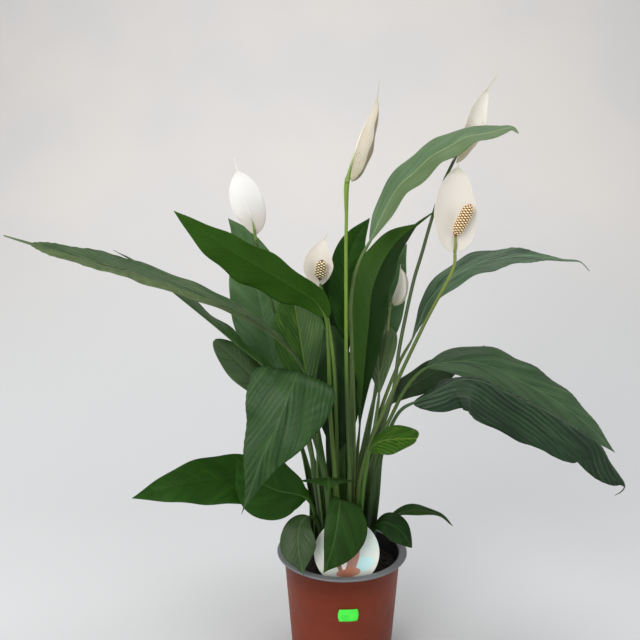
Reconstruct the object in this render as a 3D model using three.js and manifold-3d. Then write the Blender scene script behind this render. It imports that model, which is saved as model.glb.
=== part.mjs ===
// Potted peace lily in a plastic nursery pot. Millimetres, +Z up, origin at the middle of the
// pot's underside. The front of the plant looks along -Y.
import * as THREE from 'three';
import { mergeVertices } from 'three/addons/utils/BufferGeometryUtils.js';
import Module from 'manifold-3d';

const wasm = await Module();
wasm.setup();

// ---- driving dimensions -------------------------------------------------------------------

const POT_HEIGHT = 150;
const RIM_RADIUS = 85;
const RIM_THICKNESS = 3;
const NECK_RADIUS = 76; // outside of the wall just under the rim
const BASE_RADIUS = 64;
const WALL = 1.8;
const FOOT_WIDTH = 9; // ring that the pot stands on
const HUB_RADIUS = 20; // flat disc in the middle of the underside
const FLOOR_LIFT = 4; // rise of the floor between the hub and the ring
const DRAIN_HOLES = 8;
const DRAIN_RADIUS = 4.5;
const DRAIN_CIRCLE = 37;
const POT_SEGMENTS = 36;

const GAP = 0.3; // air kept between neighbouring pieces
const SOIL_TOP = 128;
const SOIL_LUMPS = 1.6;
const SOIL_RINGS = 24;
const SOIL_SEGMENTS = 24;
const ROOT_DEPTH = 18; // length of each stem below the soil surface

const CARD_RADIUS = 40;
const CARD_THICKNESS = 0.9;
const CARD_CENTRE = [4, -57, 171];
const CARD_LEAN = 9; // degrees, top away from the front
const STAKE_WIDTH = 12;
const STAKE_LENGTH = 30;

const STICKER_WIDTH = 24;
const STICKER_HEIGHT = 16;
const STICKER_THICKNESS = 0.6;
const STICKER_MIDDLE = 98; // height of its centre
const STICKER_TURN = 4.5; // degrees round the pot from the front
const STICKER_WAVE = 1;

const STRAIGHT = ROOT_DEPTH + 6; // stretch of a stem that stands upright in and just above the soil
const PETIOLE_BASE = 3.3; // leaf stem: radius at the soil
const PETIOLE_TOP = 2.1;
const PETIOLE_STEPS = 7;
const SHEATH = 0.65; // how much wider than deep a leaf stem is above the soil
const HOLE_SIDES = 7;
const HOLE_RADIUS = (PETIOLE_BASE + GAP) / Math.cos(Math.PI / HOLE_SIDES);
const STALK_BASE = 2.8; // bloom stem: radius at the soil
const STALK_TOP = 1.9;
const STALK_STEPS = 14;
const STALK_SIDES = 6;

const BLADE_THICKNESS = 0.8;
const RIB_DEPTH = 1.3; // how far the midrib stands out under a blade, at its base
const THREAD = 0.5; // half width of a drawn-out tip
const TIGHTEST = 0.8; // smallest radius that a blade curls to
const FLAT_UNDER = 4; // half width under which a blade folds less
const ACROSS = [-1, -0.5, 0, 0.5, 1]; // places over a blade, from edge to edge
const WAVE_TURN = 1.9; // how far the edge wave moves on from one cross-section to the next, radians
const LEAF_PEAK = 0.4; // widest place of a leaf, as a share of its length
const LEAF_FULLNESS = 1.1;
const LEAF_WRAP = -20;
const LEAF_WAVE = 2;
const LEAF_SLANT = 0.35; // how far the side veins run toward the tip, for each step outward
const LEAF_STATION = 17; // spacing of the cross-sections of a leaf
const LOBED = 2.5; // a lobe longer than this gets a cross-section of its own
const LOBE_STATION = 3.6; // its distance from the foot of the blade
const LOBE_CURVE = 3; // a lobe reaches back along the edge, and hardly beside the midrib

const SPATHE_NECK = 5; // round stretch at the foot of a spathe
const SPATHE_LOBE = 3;
const SPATHE_PEAK = 0.42;
const SPATHE_FULLNESS = 0.85;
const SPATHE_WAVE = 0.8;
const SPATHE_STATION = 11;
const SPADIX_SIDES = 10;
const SPADIX_ROWS = 12;
const SPADIX_FOOT = 4; // distance of the club's foot from the foot of the spathe
const SPADIX_STEM = 1.4; // radius of the club's own short stem
const SPADIX_STEP = 3; // how far that stem runs ahead before the florets begin
const FLORET = 0.45; // how far the florets stand in and out

// ---- leaves -------------------------------------------------------------------------------
// root: where the stem enters the soil. route: the points that the stem and midrib run through,
// up to the tip. blade: length of the blade. face: where its upper side looks, at base and tip.
// fold: how far each half is raised about the midrib, in degrees. wrap: how far each half curls
// round from midrib to edge, in degrees. wave: edge waves. pleat: height of the side veins.
// peak: where the blade is widest, from 0 at its base to 1. lobe: how far its base reaches back
// beside the stem. thread: length of a drawn-out tip.

const LEAVES = [
  {
    name: 'leaf_long_left',
    root: [-18, -9],
    route: [[-30, -15, 247], [-32, -19, 325], [-40, -24, 373], [-60, -32, 406],
      [-98, -44, 436], [-146, -56, 463], [-202, -68, 487], [-266, -80, 515],
      [-320, -88, 533], [-378, -95, 556]],
    blade: 395,
    width: 60,
    face: [[0.3, -0.2, 1], [0.1, -0.4, 1]],
    fold: 32,
    peak: 0.5,
    fullness: 0.8,
  },
  {
    name: 'leaf_long_left_behind',
    root: [-21, 1],
    route: [[-36, -3, 244], [-44, -4, 305], [-66, -6, 360], [-140, -16, 430], [-200, -24, 482],
      [-248, -30, 522], [-277, -34, 540]],
    blade: 255,
    width: 52,
    face: [[0.4, 0.3, 1], [0.4, 0.2, 1]],
    fold: 25,
    peak: 0.32,
  },
  {
    name: 'leaf_broad_left',
    root: [-5, -22],
    route: [[-10, -37, 256], [-16, -44, 340], [-19, -52, 425], [-23, -57, 463],
      [-36, -64, 482], [-52, -72, 493], [-98, -86, 522], [-128, -96, 540],
      [-159, -105, 561], [-186, -112, 582]],
    blade: 205,
    width: 61,
    face: [[0.1, 0.5, 0.9], [-0.2, 0.7, 0.7]],
    fold: 8,
    peak: 0.36,
    lobe: 8,
  },
  {
    name: 'leaf_upright_back_left',
    root: [-18, 22],
    route: [[-33, 30, 234], [-48, 36, 290], [-67, 40, 340], [-89, 44, 386],
      [-102, 48, 439], [-112, 50, 486], [-122, 50, 530], [-134, 47, 559],
      [-149, 40, 581]],
    blade: 255,
    width: 86,
    face: [[0.4, -0.9, 0.2], [0.3, -1, 0.2]],
    fold: 14,
  },
  {
    name: 'leaf_upright_left',
    root: [-11, 1],
    route: [[-22, 4, 240], [-31, 8, 306], [-42, 11, 352], [-49, 13, 391], [-56, 15, 437],
      [-62, 15, 482], [-68, 11, 527]],
    blade: 165,
    width: 68,
    face: [[0.1, -1, 0.2], [0.1, -1, 0.1]],
    fold: 22,
  },
  {
    name: 'leaf_small_left',
    root: [-26, 9],
    route: [[-43, 9, 240], [-56, 8, 293], [-72, 5, 327], [-90, 0, 348], [-113, -6, 377],
      [-138, -11, 405], [-161, -15, 428]],
    blade: 105,
    width: 42,
    face: [[0.3, -0.6, 0.7], [0.3, -1, 0.2]],
    fold: 10,
  },
  {
    name: 'leaf_front_drooping',
    root: [-15, -19],
    route: [[-22, -31, 250], [-37, -45, 315], [-55, -56, 365], [-60, -66, 390],
      [-60, -80, 400], [-61, -98, 400], [-67, -112, 384], [-79, -119, 348],
      [-93, -121, 312], [-105, -121, 277], [-117, -118, 245]],
    blade: 195,
    width: 94,
    face: [[-0.1, -0.1, 1], [-0.1, -1, 0.2]],
    fold: -6,
    peak: 0.24,
    fullness: 1.35,
    lobe: 13,
  },
  {
    name: 'leaf_lower_left',
    root: [-29, -3],
    route: [[-38, -6, 195], [-42, -10, 222], [-50, -15, 237], [-68, -24, 247],
      [-101, -36, 256], [-145, -48, 261], [-194, -60, 259], [-254, -70, 245]],
    blade: 205,
    width: 70,
    face: [[0, -0.6, 0.8], [-0.2, -0.7, 0.7]],
    fold: 10,
    peak: 0.36,
  },
  {
    name: 'leaf_lower_left_behind',
    root: [-27, -14],
    route: [[-32, -22, 190], [-37, -30, 216], [-44, -38, 231], [-56, -48, 241],
      [-83, -56, 250], [-110, -60, 268], [-131, -60, 293]],
    blade: 105,
    width: 76,
    face: [[0.1, -0.9, 0.5], [0.4, -0.9, 0.2]],
    fold: 8,
    peak: 0.34,
    lobe: 8,
    fullness: 1.5,
  },
  {
    name: 'leaf_over_rim_left',
    root: [-20, -25],
    route: [[-26, -32, 182], [-36, -38, 206], [-46, -50, 213], [-54, -62, 206],
      [-55, -72, 186], [-48, -81, 152]],
    blade: 80,
    width: 44,
    face: [[-0.3, -0.6, 0.8], [-0.2, -1, 0.2]],
    fold: 8,
    lobe: 4,
    fullness: 1.4,
  },
  {
    name: 'leaf_centre_low',
    root: [1, -33],
    route: [[-1, -38, 196], [2, -45, 226], [6, -56, 238], [6, -68, 227], [-1, -77, 205],
      [-11, -82, 183], [-25, -86, 159]],
    blade: 92,
    width: 54,
    face: [[0.1, -0.5, 0.8], [0.1, -1, 0.3]],
    fold: 6,
  },
  {
    name: 'leaf_front_small',
    root: [-10, -31],
    route: [[-14, -38, 200], [-18, -46, 240], [-18, -56, 260], [-19, -90, 277],
      [-19, -104, 271], [-20, -114, 248]],
    blade: 66,
    width: 66,
    face: [[0, -0.3, 1], [0, -0.8, 0.6]],
    fold: -10,
    wrap: -4,
    wave: 0,
    pleat: 0.5,
  },
  {
    name: 'leaf_over_rim_right',
    root: [24, -24],
    route: [[30, -28, 165], [36, -34, 190], [49, -42, 203], [69, -47, 195], [85, -52, 174]],
    blade: 66,
    width: 38,
    face: [[0, -0.4, 1], [0.5, -0.7, 0.5]],
    fold: 8,
  },
  {
    name: 'leaf_narrow_right',
    root: [31, -15],
    route: [[35, -18, 160], [43, -20, 187], [65, -20, 203], [96, -20, 210],
      [123, -22, 204], [141, -24, 190]],
    blade: 92,
    width: 24,
    face: [[0, -0.1, 1], [0.3, -0.1, 0.9]],
    fold: 14,
  },
  {
    name: 'leaf_small_bright',
    root: [13, -31],
    route: [[20, -36, 200], [25, -41, 248], [29, -44, 280], [33, -49, 302], [44, -58, 314],
      [63, -72, 322], [83, -90, 329]],
    blade: 74,
    width: 68,
    face: [[-0.4, -0.4, 0.9], [-0.1, -0.6, 0.8]],
    fold: 10,
  },
  {
    name: 'leaf_right_upper',
    root: [34, 5],
    route: [[44, 2, 244], [50, 3, 293], [67, 13, 329], [86, 23, 361], [112, 32, 384],
      [158, 36, 392], [195, 36, 386], [239, 35, 365], [291, 32, 335],
      [328, 27, 307], [364, 22, 271]],
    blade: 292,
    width: 84,
    face: [[0, -0.5, 0.9], [0.5, -0.6, 0.6]],
    fold: 12,
  },
  {
    name: 'leaf_right_lower',
    root: [34, -5],
    route: [[44, -13, 247], [50, -19, 287], [70, -30, 341], [91, -38, 357],
      [112, -42, 367], [131, -45, 377], [150, -47, 380], [168, -50, 376],
      [192, -52, 364], [211, -53, 355], [235, -54, 344], [259, -56, 332],
      [283, -58, 320], [304, -60, 308], [322, -61, 282], [338, -62, 258],
      [334, -63, 251], [325, -64, 246]],
    blade: 330,
    width: 84,
    face: [[0.1, -0.6, 0.8], [0.4, -0.7, 0.6]],
    fold: -42,
    thread: 18,
    peak: 0.42,
    fullness: 0.6,
  },
  {
    name: 'leaf_right_behind',
    root: [30, 15],
    route: [[36, 19, 235], [46, 26, 287], [59, 40, 322], [81, 56, 343], [111, 72, 359],
      [147, 82, 377], [178, 88, 396], [205, 92, 405]],
    blade: 165,
    width: 54,
    face: [[-0.3, -0.5, 0.8], [-0.2, -0.4, 0.9]],
    fold: 10,
    thread: 14,
  },
  {
    name: 'leaf_right_high',
    root: [21, 14],
    route: [[30, 15, 239], [47, 19, 317], [74, 26, 389], [91, 30, 421], [103, 33, 447],
      [113, 36, 470], [136, 38, 496], [177, 39, 520], [240, 38, 531],
      [287, 34, 526], [309, 30, 524], [321, 28, 512]],
    blade: 295,
    width: 54,
    face: [[-0.5, -0.5, 0.7], [0.1, -0.35, 0.95]],
    fold: 12,
    thread: 28,
    peak: 0.5,
    fullness: 1.2,
  },
  {
    name: 'leaf_top_right',
    root: [8, -14],
    route: [[12, -22, 250], [12, -26, 330], [10, -29, 430], [9, -30, 476], [16, -31, 519],
      [34, -31, 556], [63, -30, 612], [84, -31, 632], [104, -32, 650],
      [124, -32, 661], [144, -31, 672], [165, -29, 676], [186, -27, 681],
      [198, -26, 683], [208, -25, 677]],
    blade: 235,
    width: 50,
    face: [[-0.7, -0.7, 0.3], [-0.2, -0.6, 0.8]],
    fold: 10,
    fullness: 0.9,
  },
  {
    name: 'leaf_centre_tall',
    root: [12, -5],
    route: [[17, -8, 246], [22, -8, 324], [28, -7, 401], [32, -7, 446], [36, -6, 487],
      [48, -5, 521], [66, -5, 549], [90, -6, 570], [111, -8, 586]],
    blade: 205,
    width: 62,
    face: [[-0.4, -0.8, 0.3], [-0.5, -0.6, 0.6]],
    fold: 20,
    thread: 22,
  },
  {
    name: 'leaf_centre_tall_behind',
    root: [-1, -1],
    route: [[-2, 1, 242], [0, 4, 321], [3, 10, 399], [6, 15, 457], [6, 16, 505],
      [12, 14, 545], [34, 8, 580]],
    blade: 165,
    width: 52,
    face: [[0.2, -1, 0.1], [0.3, -0.9, 0.4]],
    fold: 18,
  },
  {
    name: 'leaf_back_right_tall',
    root: [14, 24],
    route: [[24, 34, 240], [38, 42, 300], [49, 52, 370], [55, 58, 431], [63, 62, 485],
      [75, 62, 523], [88, 60, 548]],
    blade: 160,
    width: 54,
    face: [[-0.3, -1, 0.2], [-0.2, -1, 0]],
    fold: 14,
  },
  {
    name: 'leaf_centre_right_short',
    root: [23, 3],
    route: [[27, 5, 185], [34, 7, 240], [42, 9, 306], [48, 11, 356], [47, 15, 395],
      [46, 24, 425], [45, 38, 440]],
    blade: 92,
    width: 48,
    face: [[-0.1, -1, 0.2], [0, -0.8, 0.6]],
    fold: 14,
  },
  {
    name: 'leaf_inner_drooping',
    root: [-6, 10],
    route: [[-13, 16, 236], [-18, 22, 303], [-20, 27, 370], [-21, 24, 422], [-18, 14, 440],
      [-13, 4, 428], [-7, -4, 375], [-6, -8, 324], [-7, -8, 279]],
    blade: 170,
    width: 42,
    face: [[0, -0.6, 0.8], [0, -1, 0.1]],
    fold: 12,
  },
  {
    name: 'leaf_back_upright',
    root: [-2, 19],
    route: [[-5, 28, 232], [-10, 36, 299], [-14, 42, 360], [-17, 48, 420], [-17, 54, 470],
      [-14, 62, 510]],
    blade: 160,
    width: 58,
    face: [[0, -1, 0.1], [0.1, -0.9, 0.4]],
    fold: 16,
  },
  {
    name: 'leaf_back_arching',
    root: [3, 29],
    route: [[8, 42, 240], [14, 56, 320], [24, 74, 400], [38, 104, 452], [52, 150, 468],
      [62, 200, 440]],
    blade: 150,
    width: 62,
    face: [[0, -0.2, 1], [0, 0.5, 0.9]],
    fold: 12,
  },
  {
    name: 'leaf_back_left_arching',
    root: [-8, 28],
    route: [[-18, 42, 205], [-30, 62, 262], [-48, 88, 305], [-72, 118, 325], [-104, 156, 318],
      [-130, 188, 290]],
    blade: 150,
    width: 58,
    face: [[0, -0.1, 1], [-0.4, 0.6, 0.8]],
    fold: 12,
  },
];

// ---- blooms -------------------------------------------------------------------------------
// The route runs up the stem, then up the back of the white spathe to the end of its thread.
// spathe: length of the spathe. thread: length of its drawn-out tip. face: where its hollow
// looks. neck: round stretch at its foot. spadix: length and radius of the club inside it. lean: how
// far the club leans to the right and forward, for each step ahead.

const BLOOMS = [
  {
    name: 'bloom_left',
    root: [-16, 12],
    route: [[-27, 18, 237], [-41, 25, 319], [-58, 26, 350], [-78, 25, 422], [-95, 14, 488],
      [-107, 2, 546], [-112, -5, 574], [-119, -10, 596], [-124, -12, 615],
      [-129, -12, 634], [-133, -12, 651]],
    spathe: 82,
    thread: 15,
    width: 53,
    face: [[0.2, 1, 0.1], [0, 1, 0.2]],
    wrap: 50,
    spadix: [40, 5.5],
    neck: 14,
    lobe: 22,
  },
  {
    name: 'bloom_tall_closed',
    root: [5, -24],
    route: [[8, -38, 256], [4, -44, 359], [2, -48, 481], [3, -50, 597], [8, -50, 632],
      [21, -49, 677], [36, -48, 711], [39, -48, 733]],
    spathe: 102,
    thread: 20,
    width: 46,
    face: [[1, -0.2, 0.2], [1, -0.2, 0]],
    wrap: 125,
    spadix: [46, 4.2],
  },
  {
    name: 'bloom_top_right',
    root: [21, -11],
    route: [[27, -19, 249], [44, -22, 302], [62, -24, 364], [69, -22, 416], [76, -20, 454],
      [88, -12, 505], [97, -8, 534], [107, -4, 569], [120, 0, 611],
      [126, 4, 626], [142, 6, 658], [147, 8, 670], [154, 10, 682],
      [163, 12, 709], [174, 13, 730], [183, 13, 745], [196, 14, 762]],
    spathe: 84,
    thread: 30,
    width: 32,
    face: [[0.6, -0.8, 0.3], [0.6, -0.8, 0]],
    wrap: 75,
    spadix: [34, 4],
    lobe: 22,
    neck: 7,
  },
  {
    name: 'bloom_right',
    root: [16, -20],
    route: [[21, -31, 252], [35, -38, 306], [68, -45, 390], [84, -48, 427], [98, -50, 458],
      [113, -50, 487], [124, -50, 508], [130, -49, 524], [130, -48, 541],
      [129, -46, 569], [128, -45, 598], [130, -46, 621], [132, -48, 642]],
    spathe: 92,
    thread: 7,
    width: 54,
    face: [[0, -1, 0.2], [0.1, -1, 0.1]],
    wrap: 35,
    spadix: [38, 6.5],
    lean: [0.5, 0.3],
    neck: 10,
    lobe: 26,
  },
  {
    name: 'bloom_small',
    root: [-5, -11],
    route: [[-6, -11, 246], [-8, -14, 326], [-12, -18, 404], [-19, -21, 454],
      [-27, -22, 491], [-29, -21, 518], [-25, -22, 540], [-17, -23, 562]],
    spathe: 62,
    thread: 8,
    width: 38,
    face: [[0, -1, 0.3], [0.1, -1, 0.2]],
    wrap: 48,
    spadix: [28, 5],
    lean: [0.35, 0.2],
  },
  {
    name: 'bloom_bud',
    root: [10, 6],
    route: [[20, 10, 241], [36, 18, 320], [54, 27, 390], [61, 30, 441], [64, 29, 464],
      [69, 29, 481], [74, 29, 500], [76, 30, 521]],
    spathe: 50,
    thread: 5,
    width: 32,
    face: [[-0.6, -0.8, 0], [-0.6, -0.8, 0]],
    wrap: 130,
    spadix: null,
  },
];

const COLOURS = {
  pot: '#7d4236',
  soil: '#2b211b',
  card: '#dfe9e4',
  sticker: '#3ee03c',
  leaf: '#2f5a2a',
  stem: '#6f8a3a',
  spathe: '#f1eee6',
  spadix: '#d9c79a',
};

// ---- helpers ------------------------------------------------------------------------------

const radians = THREE.MathUtils.degToRad;
const lerp = THREE.MathUtils.lerp;
const group = new THREE.Group();

function addPiece(name, geometry, colour, roughness) {
  const material = new THREE.MeshStandardMaterial({ color: colour, roughness, metalness: 0 });
  const mesh = new THREE.Mesh(geometry, material);
  mesh.name = name;
  group.add(mesh);
}

// Closed body through a row of rings with the same number of points. Both faces of a blade are
// split into triangles alike, and a last ring of one point closes as a tip.
function loft(rings) {
  const count = rings[0].length;
  const points = rings.flat();
  const faces = [];
  for (let k = 0; k < rings.length - 1; k += 1) {
    const here = k * count;
    const next = here + count;
    const tip = rings[k + 1].length === 1;
    for (let i = 0; i < count; i += 1) {
      const j = (i + 1) % count;
      if (tip) {
        faces.push(here + i, here + j, next);
      } else if (count === 2 * ACROSS.length && i % ACROSS.length < 2) {
        faces.push(here + i, here + j, next + i, here + j, next + j, next + i);
      } else {
        faces.push(here + i, here + j, next + j, here + i, next + j, next + i);
      }
    }
  }
  closeRing(points, faces, 0, count, false);
  if (rings.at(-1).length > 1) closeRing(points, faces, (rings.length - 1) * count, count, true);
  return bodyOf(points, faces);
}

function closeRing(points, faces, start, count, forward) {
  const middle = new THREE.Vector3();
  for (let i = 0; i < count; i += 1) middle.addScaledVector(points[start + i], 1 / count);
  points.push(middle);
  for (let i = 0; i < count; i += 1) {
    const a = start + i;
    const b = start + ((i + 1) % count);
    if (forward) faces.push(a, b, points.length - 1);
    else faces.push(b, a, points.length - 1);
  }
}

function bodyOf(points, faces) {
  const geometry = new THREE.BufferGeometry();
  const values = points.flatMap((point) => point.toArray());
  geometry.setAttribute('position', new THREE.Float32BufferAttribute(values, 3));
  geometry.setIndex(faces);
  return geometry;
}

function toSolid(geometry) {
  const bare = geometry.clone();
  bare.deleteAttribute('normal');
  bare.deleteAttribute('uv');
  const merged = mergeVertices(bare, 1e-4);
  const mesh = new wasm.Mesh({
    numProp: 3,
    vertProperties: new Float32Array(merged.attributes.position.array),
    triVerts: new Uint32Array(merged.index.array),
  });
  return new wasm.Manifold(mesh);
}

function fromSolid(solid) {
  const mesh = solid.getMesh();
  const geometry = new THREE.BufferGeometry();
  geometry.setAttribute('position', new THREE.BufferAttribute(new Float32Array(mesh.vertProperties), 3));
  geometry.setIndex(new THREE.BufferAttribute(new Uint32Array(mesh.triVerts), 1));
  return geometry;
}

function cut(geometry, cutters) {
  let solid = toSolid(geometry);
  for (const cutter of cutters) solid = solid.subtract(toSolid(cutter));
  return fromSolid(solid);
}

// A turned body: profile points are [radius, height], from the axis round to the axis.
function turned(profile, segments) {
  const points = profile.map(([radius, height]) => new THREE.Vector2(radius, height));
  const geometry = new THREE.LatheGeometry(points, segments);
  geometry.rotateX(Math.PI / 2);
  return mergedShape(geometry);
}

function mergedShape(geometry) {
  geometry.deleteAttribute('normal');
  geometry.deleteAttribute('uv');
  return mergeVertices(geometry, 1e-4);
}

// The line that a stem and its blade follow, from the bottom of its hole to the tip.
function spine(plant) {
  const [x, y] = plant.root;
  const bottom = SOIL_TOP - ROOT_DEPTH;
  const below = [[x, y, bottom], [x, y, bottom + STRAIGHT]];
  const points = [...below, ...plant.route].map((point) => new THREE.Vector3(...point));
  const curve = new THREE.CatmullRomCurve3(points, false, 'centripetal');
  curve.arcLengthDivisions = 400;
  return { curve, length: curve.getLength() };
}

// Place and directions on a spine at a distance from its start: ahead, out of the upper face,
// and to the right of that.
function frameAt(line, face, bladeStart, distance) {
  const at = THREE.MathUtils.clamp(distance / line.length, 0, 1);
  const place = line.curve.getPointAt(at);
  const ahead = line.curve.getTangentAt(at);
  const along = THREE.MathUtils.clamp((distance - bladeStart) / (line.length - bladeStart), 0, 1);
  const up = new THREE.Vector3(...face[0]).lerp(new THREE.Vector3(...face[1]), along);
  up.addScaledVector(ahead, -up.dot(ahead)).normalize();
  return { place, ahead, up, right: new THREE.Vector3().crossVectors(ahead, up) };
}

function pointOn(frame, right, up) {
  return frame.place.clone().addScaledVector(frame.right, right).addScaledVector(frame.up, up);
}

function roundRing(frame, wide, deep, sides) {
  const ring = [];
  for (let i = 0; i < sides; i += 1) {
    const turn = Math.PI - ((i + 0.5) / sides) * 2 * Math.PI;
    ring.push(pointOn(frame, wide * Math.cos(turn), deep * Math.sin(turn)));
  }
  return ring;
}

// Outline of a leaf or spathe: half width over its length, 0 to 1, with the widest place at PEAK.
function outline(t, peak, fullness) {
  const rise = fullness * peak / (1 - peak);
  return (t / peak) ** rise * ((1 - t) / (1 - peak)) ** fullness;
}

// ---- stems, blades and spadices -----------------------------------------------------------

function stemRings(line, plant, end, radii, sheath, sides, steps) {
  const rings = [roundRing(frameAt(line, plant.face, end, 0), radii[0], radii[0], sides)];
  for (let k = 0; k <= steps; k += 1) {
    const frame = frameAt(line, plant.face, end, lerp(STRAIGHT, end, k / steps));
    const radius = lerp(radii[0], radii[1], k / steps);
    const wide = k === 0 ? radius : radius * (1 + sheath * (1 - k / steps));
    rings.push(roundRing(frame, wide, radius, sides));
  }
  return rings;
}

// Cross-section of a blade: each half is an arc that curls by wrap and is raised by fold.
function bladeRing(line, blade, distance, station) {
  const t = (distance - blade.start) / blade.length;
  const half = Math.max(THREAD, t < 1 ? blade.half * outline(t, blade.peak, blade.fullness) : 0);
  const lobe = blade.lobe * Math.max(0, 1 - t / blade.peak) ** 2;
  const upper = [];
  const lower = [];
  for (const across of ACROSS) {
    const side = Math.sign(across);
    const slant = blade.slant * half * Math.abs(across) - lobe * Math.abs(across) ** LOBE_CURVE;
    const frame = frameAt(line, blade.face, blade.start, distance + slant);
    const curl = THREE.MathUtils.clamp(radians(blade.wrap), -half / TIGHTEST, half / TIGHTEST);
    const wrap = curl * Math.abs(across);
    const reach = across === 0 ? 0 : half * Math.abs(across) * Math.sin(wrap) / wrap;
    const lift = across === 0 ? 0 : half * Math.abs(across) * (1 - Math.cos(wrap)) / wrap;
    const fold = radians(blade.fold) * Math.min(1, half / FLAT_UNDER);
    const wave = blade.wave * Math.sin(station * WAVE_TURN + side) * across ** 2 * half / blade.half;
    const pleat = (station % 2 ? 0.5 : -0.5) * blade.pleat * Math.abs(side) * half / blade.half;
    const right = side * (reach * Math.cos(fold) - lift * Math.sin(fold));
    const height = reach * Math.sin(fold) + lift * Math.cos(fold) + wave + pleat;
    const rib = across === 0 ? RIB_DEPTH * (1 - Math.min(t, 1)) : 0;
    const tilt = side * (fold + wrap);
    const aside = Math.sin(tilt) * BLADE_THICKNESS / 2;
    const deep = Math.cos(tilt) * BLADE_THICKNESS / 2;
    upper.push(pointOn(frame, right - aside, height + deep));
    lower.unshift(pointOn(frame, right + aside, height - deep - rib));
  }
  return [...upper, ...lower];
}

function bladeRings(line, blade, end) {
  const steps = Math.round((end - blade.start) / blade.station);
  const rings = [];
  if (blade.lobe > LOBED) rings.push(bladeRing(line, blade, blade.start + LOBE_STATION, 0));
  for (let k = 1; k < steps; k += 1) {
    rings.push(bladeRing(line, blade, blade.start + (k / steps) * (end - blade.start), k));
  }
  rings.push([line.curve.getPointAt(1)]);
  return rings;
}

function leafBody(leaf) {
  const line = spine(leaf);
  const start = line.length - leaf.blade;
  const blade = {
    start,
    length: leaf.blade - (leaf.thread ?? 0),
    half: leaf.width / 2,
    face: leaf.face,
    fold: leaf.fold ?? 0,
    wrap: leaf.wrap ?? LEAF_WRAP,
    wave: leaf.wave ?? LEAF_WAVE,
    pleat: leaf.pleat ?? 1,
    slant: LEAF_SLANT,
    lobe: leaf.lobe ?? 0,
    peak: leaf.peak ?? LEAF_PEAK,
    fullness: leaf.fullness ?? LEAF_FULLNESS,
    station: LEAF_STATION,
  };
  const radii = [PETIOLE_BASE, PETIOLE_TOP];
  const petiole = stemRings(line, leaf, start, radii, SHEATH, 2 * ACROSS.length, PETIOLE_STEPS);
  return loft([...petiole, ...bladeRings(line, blade, line.length)]);
}

// The upright hole that a stem stands in, a little wider and deeper than the stem.
function stemHole(plant) {
  const hole = new THREE.CylinderGeometry(HOLE_RADIUS, HOLE_RADIUS, STRAIGHT, HOLE_SIDES);
  hole.rotateX(Math.PI / 2);
  hole.translate(...plant.root, SOIL_TOP - ROOT_DEPTH - GAP + STRAIGHT / 2);
  return hole;
}

function bloomPieces(bloom) {
  const line = spine(bloom);
  const joint = line.length - bloom.spathe - bloom.thread;
  const radii = [STALK_BASE, STALK_TOP];
  const stalk = loft(stemRings(line, bloom, joint, radii, 0, STALK_SIDES, STALK_STEPS));
  addPiece(`${bloom.name}_stem`, stalk, COLOURS.stem, 0.5);
  const neckLength = bloom.neck ?? SPATHE_NECK;
  const blade = {
    start: joint + neckLength,
    length: bloom.spathe - neckLength,
    half: bloom.width / 2,
    face: bloom.face,
    fold: 0,
    wrap: bloom.wrap,
    wave: SPATHE_WAVE,
    pleat: 0,
    slant: 0,
    lobe: bloom.lobe ?? SPATHE_LOBE,
    peak: SPATHE_PEAK,
    fullness: SPATHE_FULLNESS,
    station: SPATHE_STATION,
  };
  const neck = [];
  for (const distance of [joint + GAP, blade.start]) {
    const frame = frameAt(line, bloom.face, joint, distance);
    neck.push(roundRing(frame, STALK_TOP, STALK_TOP, 2 * ACROSS.length));
  }
  const spathe = loft([...neck, ...bladeRings(line, blade, line.length)]);
  addPiece(`${bloom.name}_spathe`, spathe, COLOURS.spathe, 0.6);
  if (bloom.spadix) addPiece(`${bloom.name}_spadix`, spadixBody(line, bloom, blade), COLOURS.spadix, 0.7);
}

// Club of the bloom: a short stalk, then rows of florets that stand out in a diamond pattern.
function spadixBody(line, bloom, blade) {
  const [length, radius] = bloom.spadix;
  const [aside, forward] = bloom.lean ?? [0, 0.12];
  const foot = frameAt(line, bloom.face, blade.start, blade.start + SPADIX_FOOT);
  const ahead = foot.ahead.clone().addScaledVector(foot.right, aside);
  ahead.addScaledVector(foot.up, forward).normalize();
  const up = foot.up.clone().addScaledVector(ahead, -foot.up.dot(ahead)).normalize();
  const right = new THREE.Vector3().crossVectors(ahead, up);
  const seat = foot.place.clone().addScaledVector(foot.up, BLADE_THICKNESS / 2 + GAP + SPADIX_STEM);
  const start = foot.place.clone().addScaledVector(foot.up, radius + BLADE_THICKNESS / 2 + 1);
  start.addScaledVector(foot.ahead, SPADIX_STEP);
  const around = (place, body, row) => {
    const ring = [];
    for (let i = 0; i < SPADIX_SIDES; i += 1) {
      const turn = Math.PI - ((i + 0.5) / SPADIX_SIDES) * 2 * Math.PI;
      const bulge = row === 0 ? body : body + ((i + row) % 2 ? FLORET : -FLORET);
      const spoke = right.clone().multiplyScalar(Math.cos(turn)).addScaledVector(up, Math.sin(turn));
      ring.push(place.clone().addScaledVector(spoke, bulge));
    }
    return ring;
  };
  const rings = [around(seat, SPADIX_STEM, 0)];
  for (let k = 0; k <= SPADIX_ROWS; k += 1) {
    const t = k / SPADIX_ROWS;
    const body = radius * Math.min(1, 0.55 + t * 3, Math.sqrt(1.05 - t) * 2.2);
    rings.push(around(start.clone().addScaledVector(ahead, t * length), body, k + 1));
  }
  rings.push([start.clone().addScaledVector(ahead, length + radius * 0.4)]);
  return loft(rings);
}

// ---- pot, soil, card and sticker ----------------------------------------------------------

const WALL_SLOPE = (NECK_RADIUS - BASE_RADIUS) / (POT_HEIGHT - RIM_THICKNESS);
const outerRadius = (z) => BASE_RADIUS + WALL_SLOPE * z;
const innerRadius = (z) => outerRadius(z) - WALL;

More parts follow.
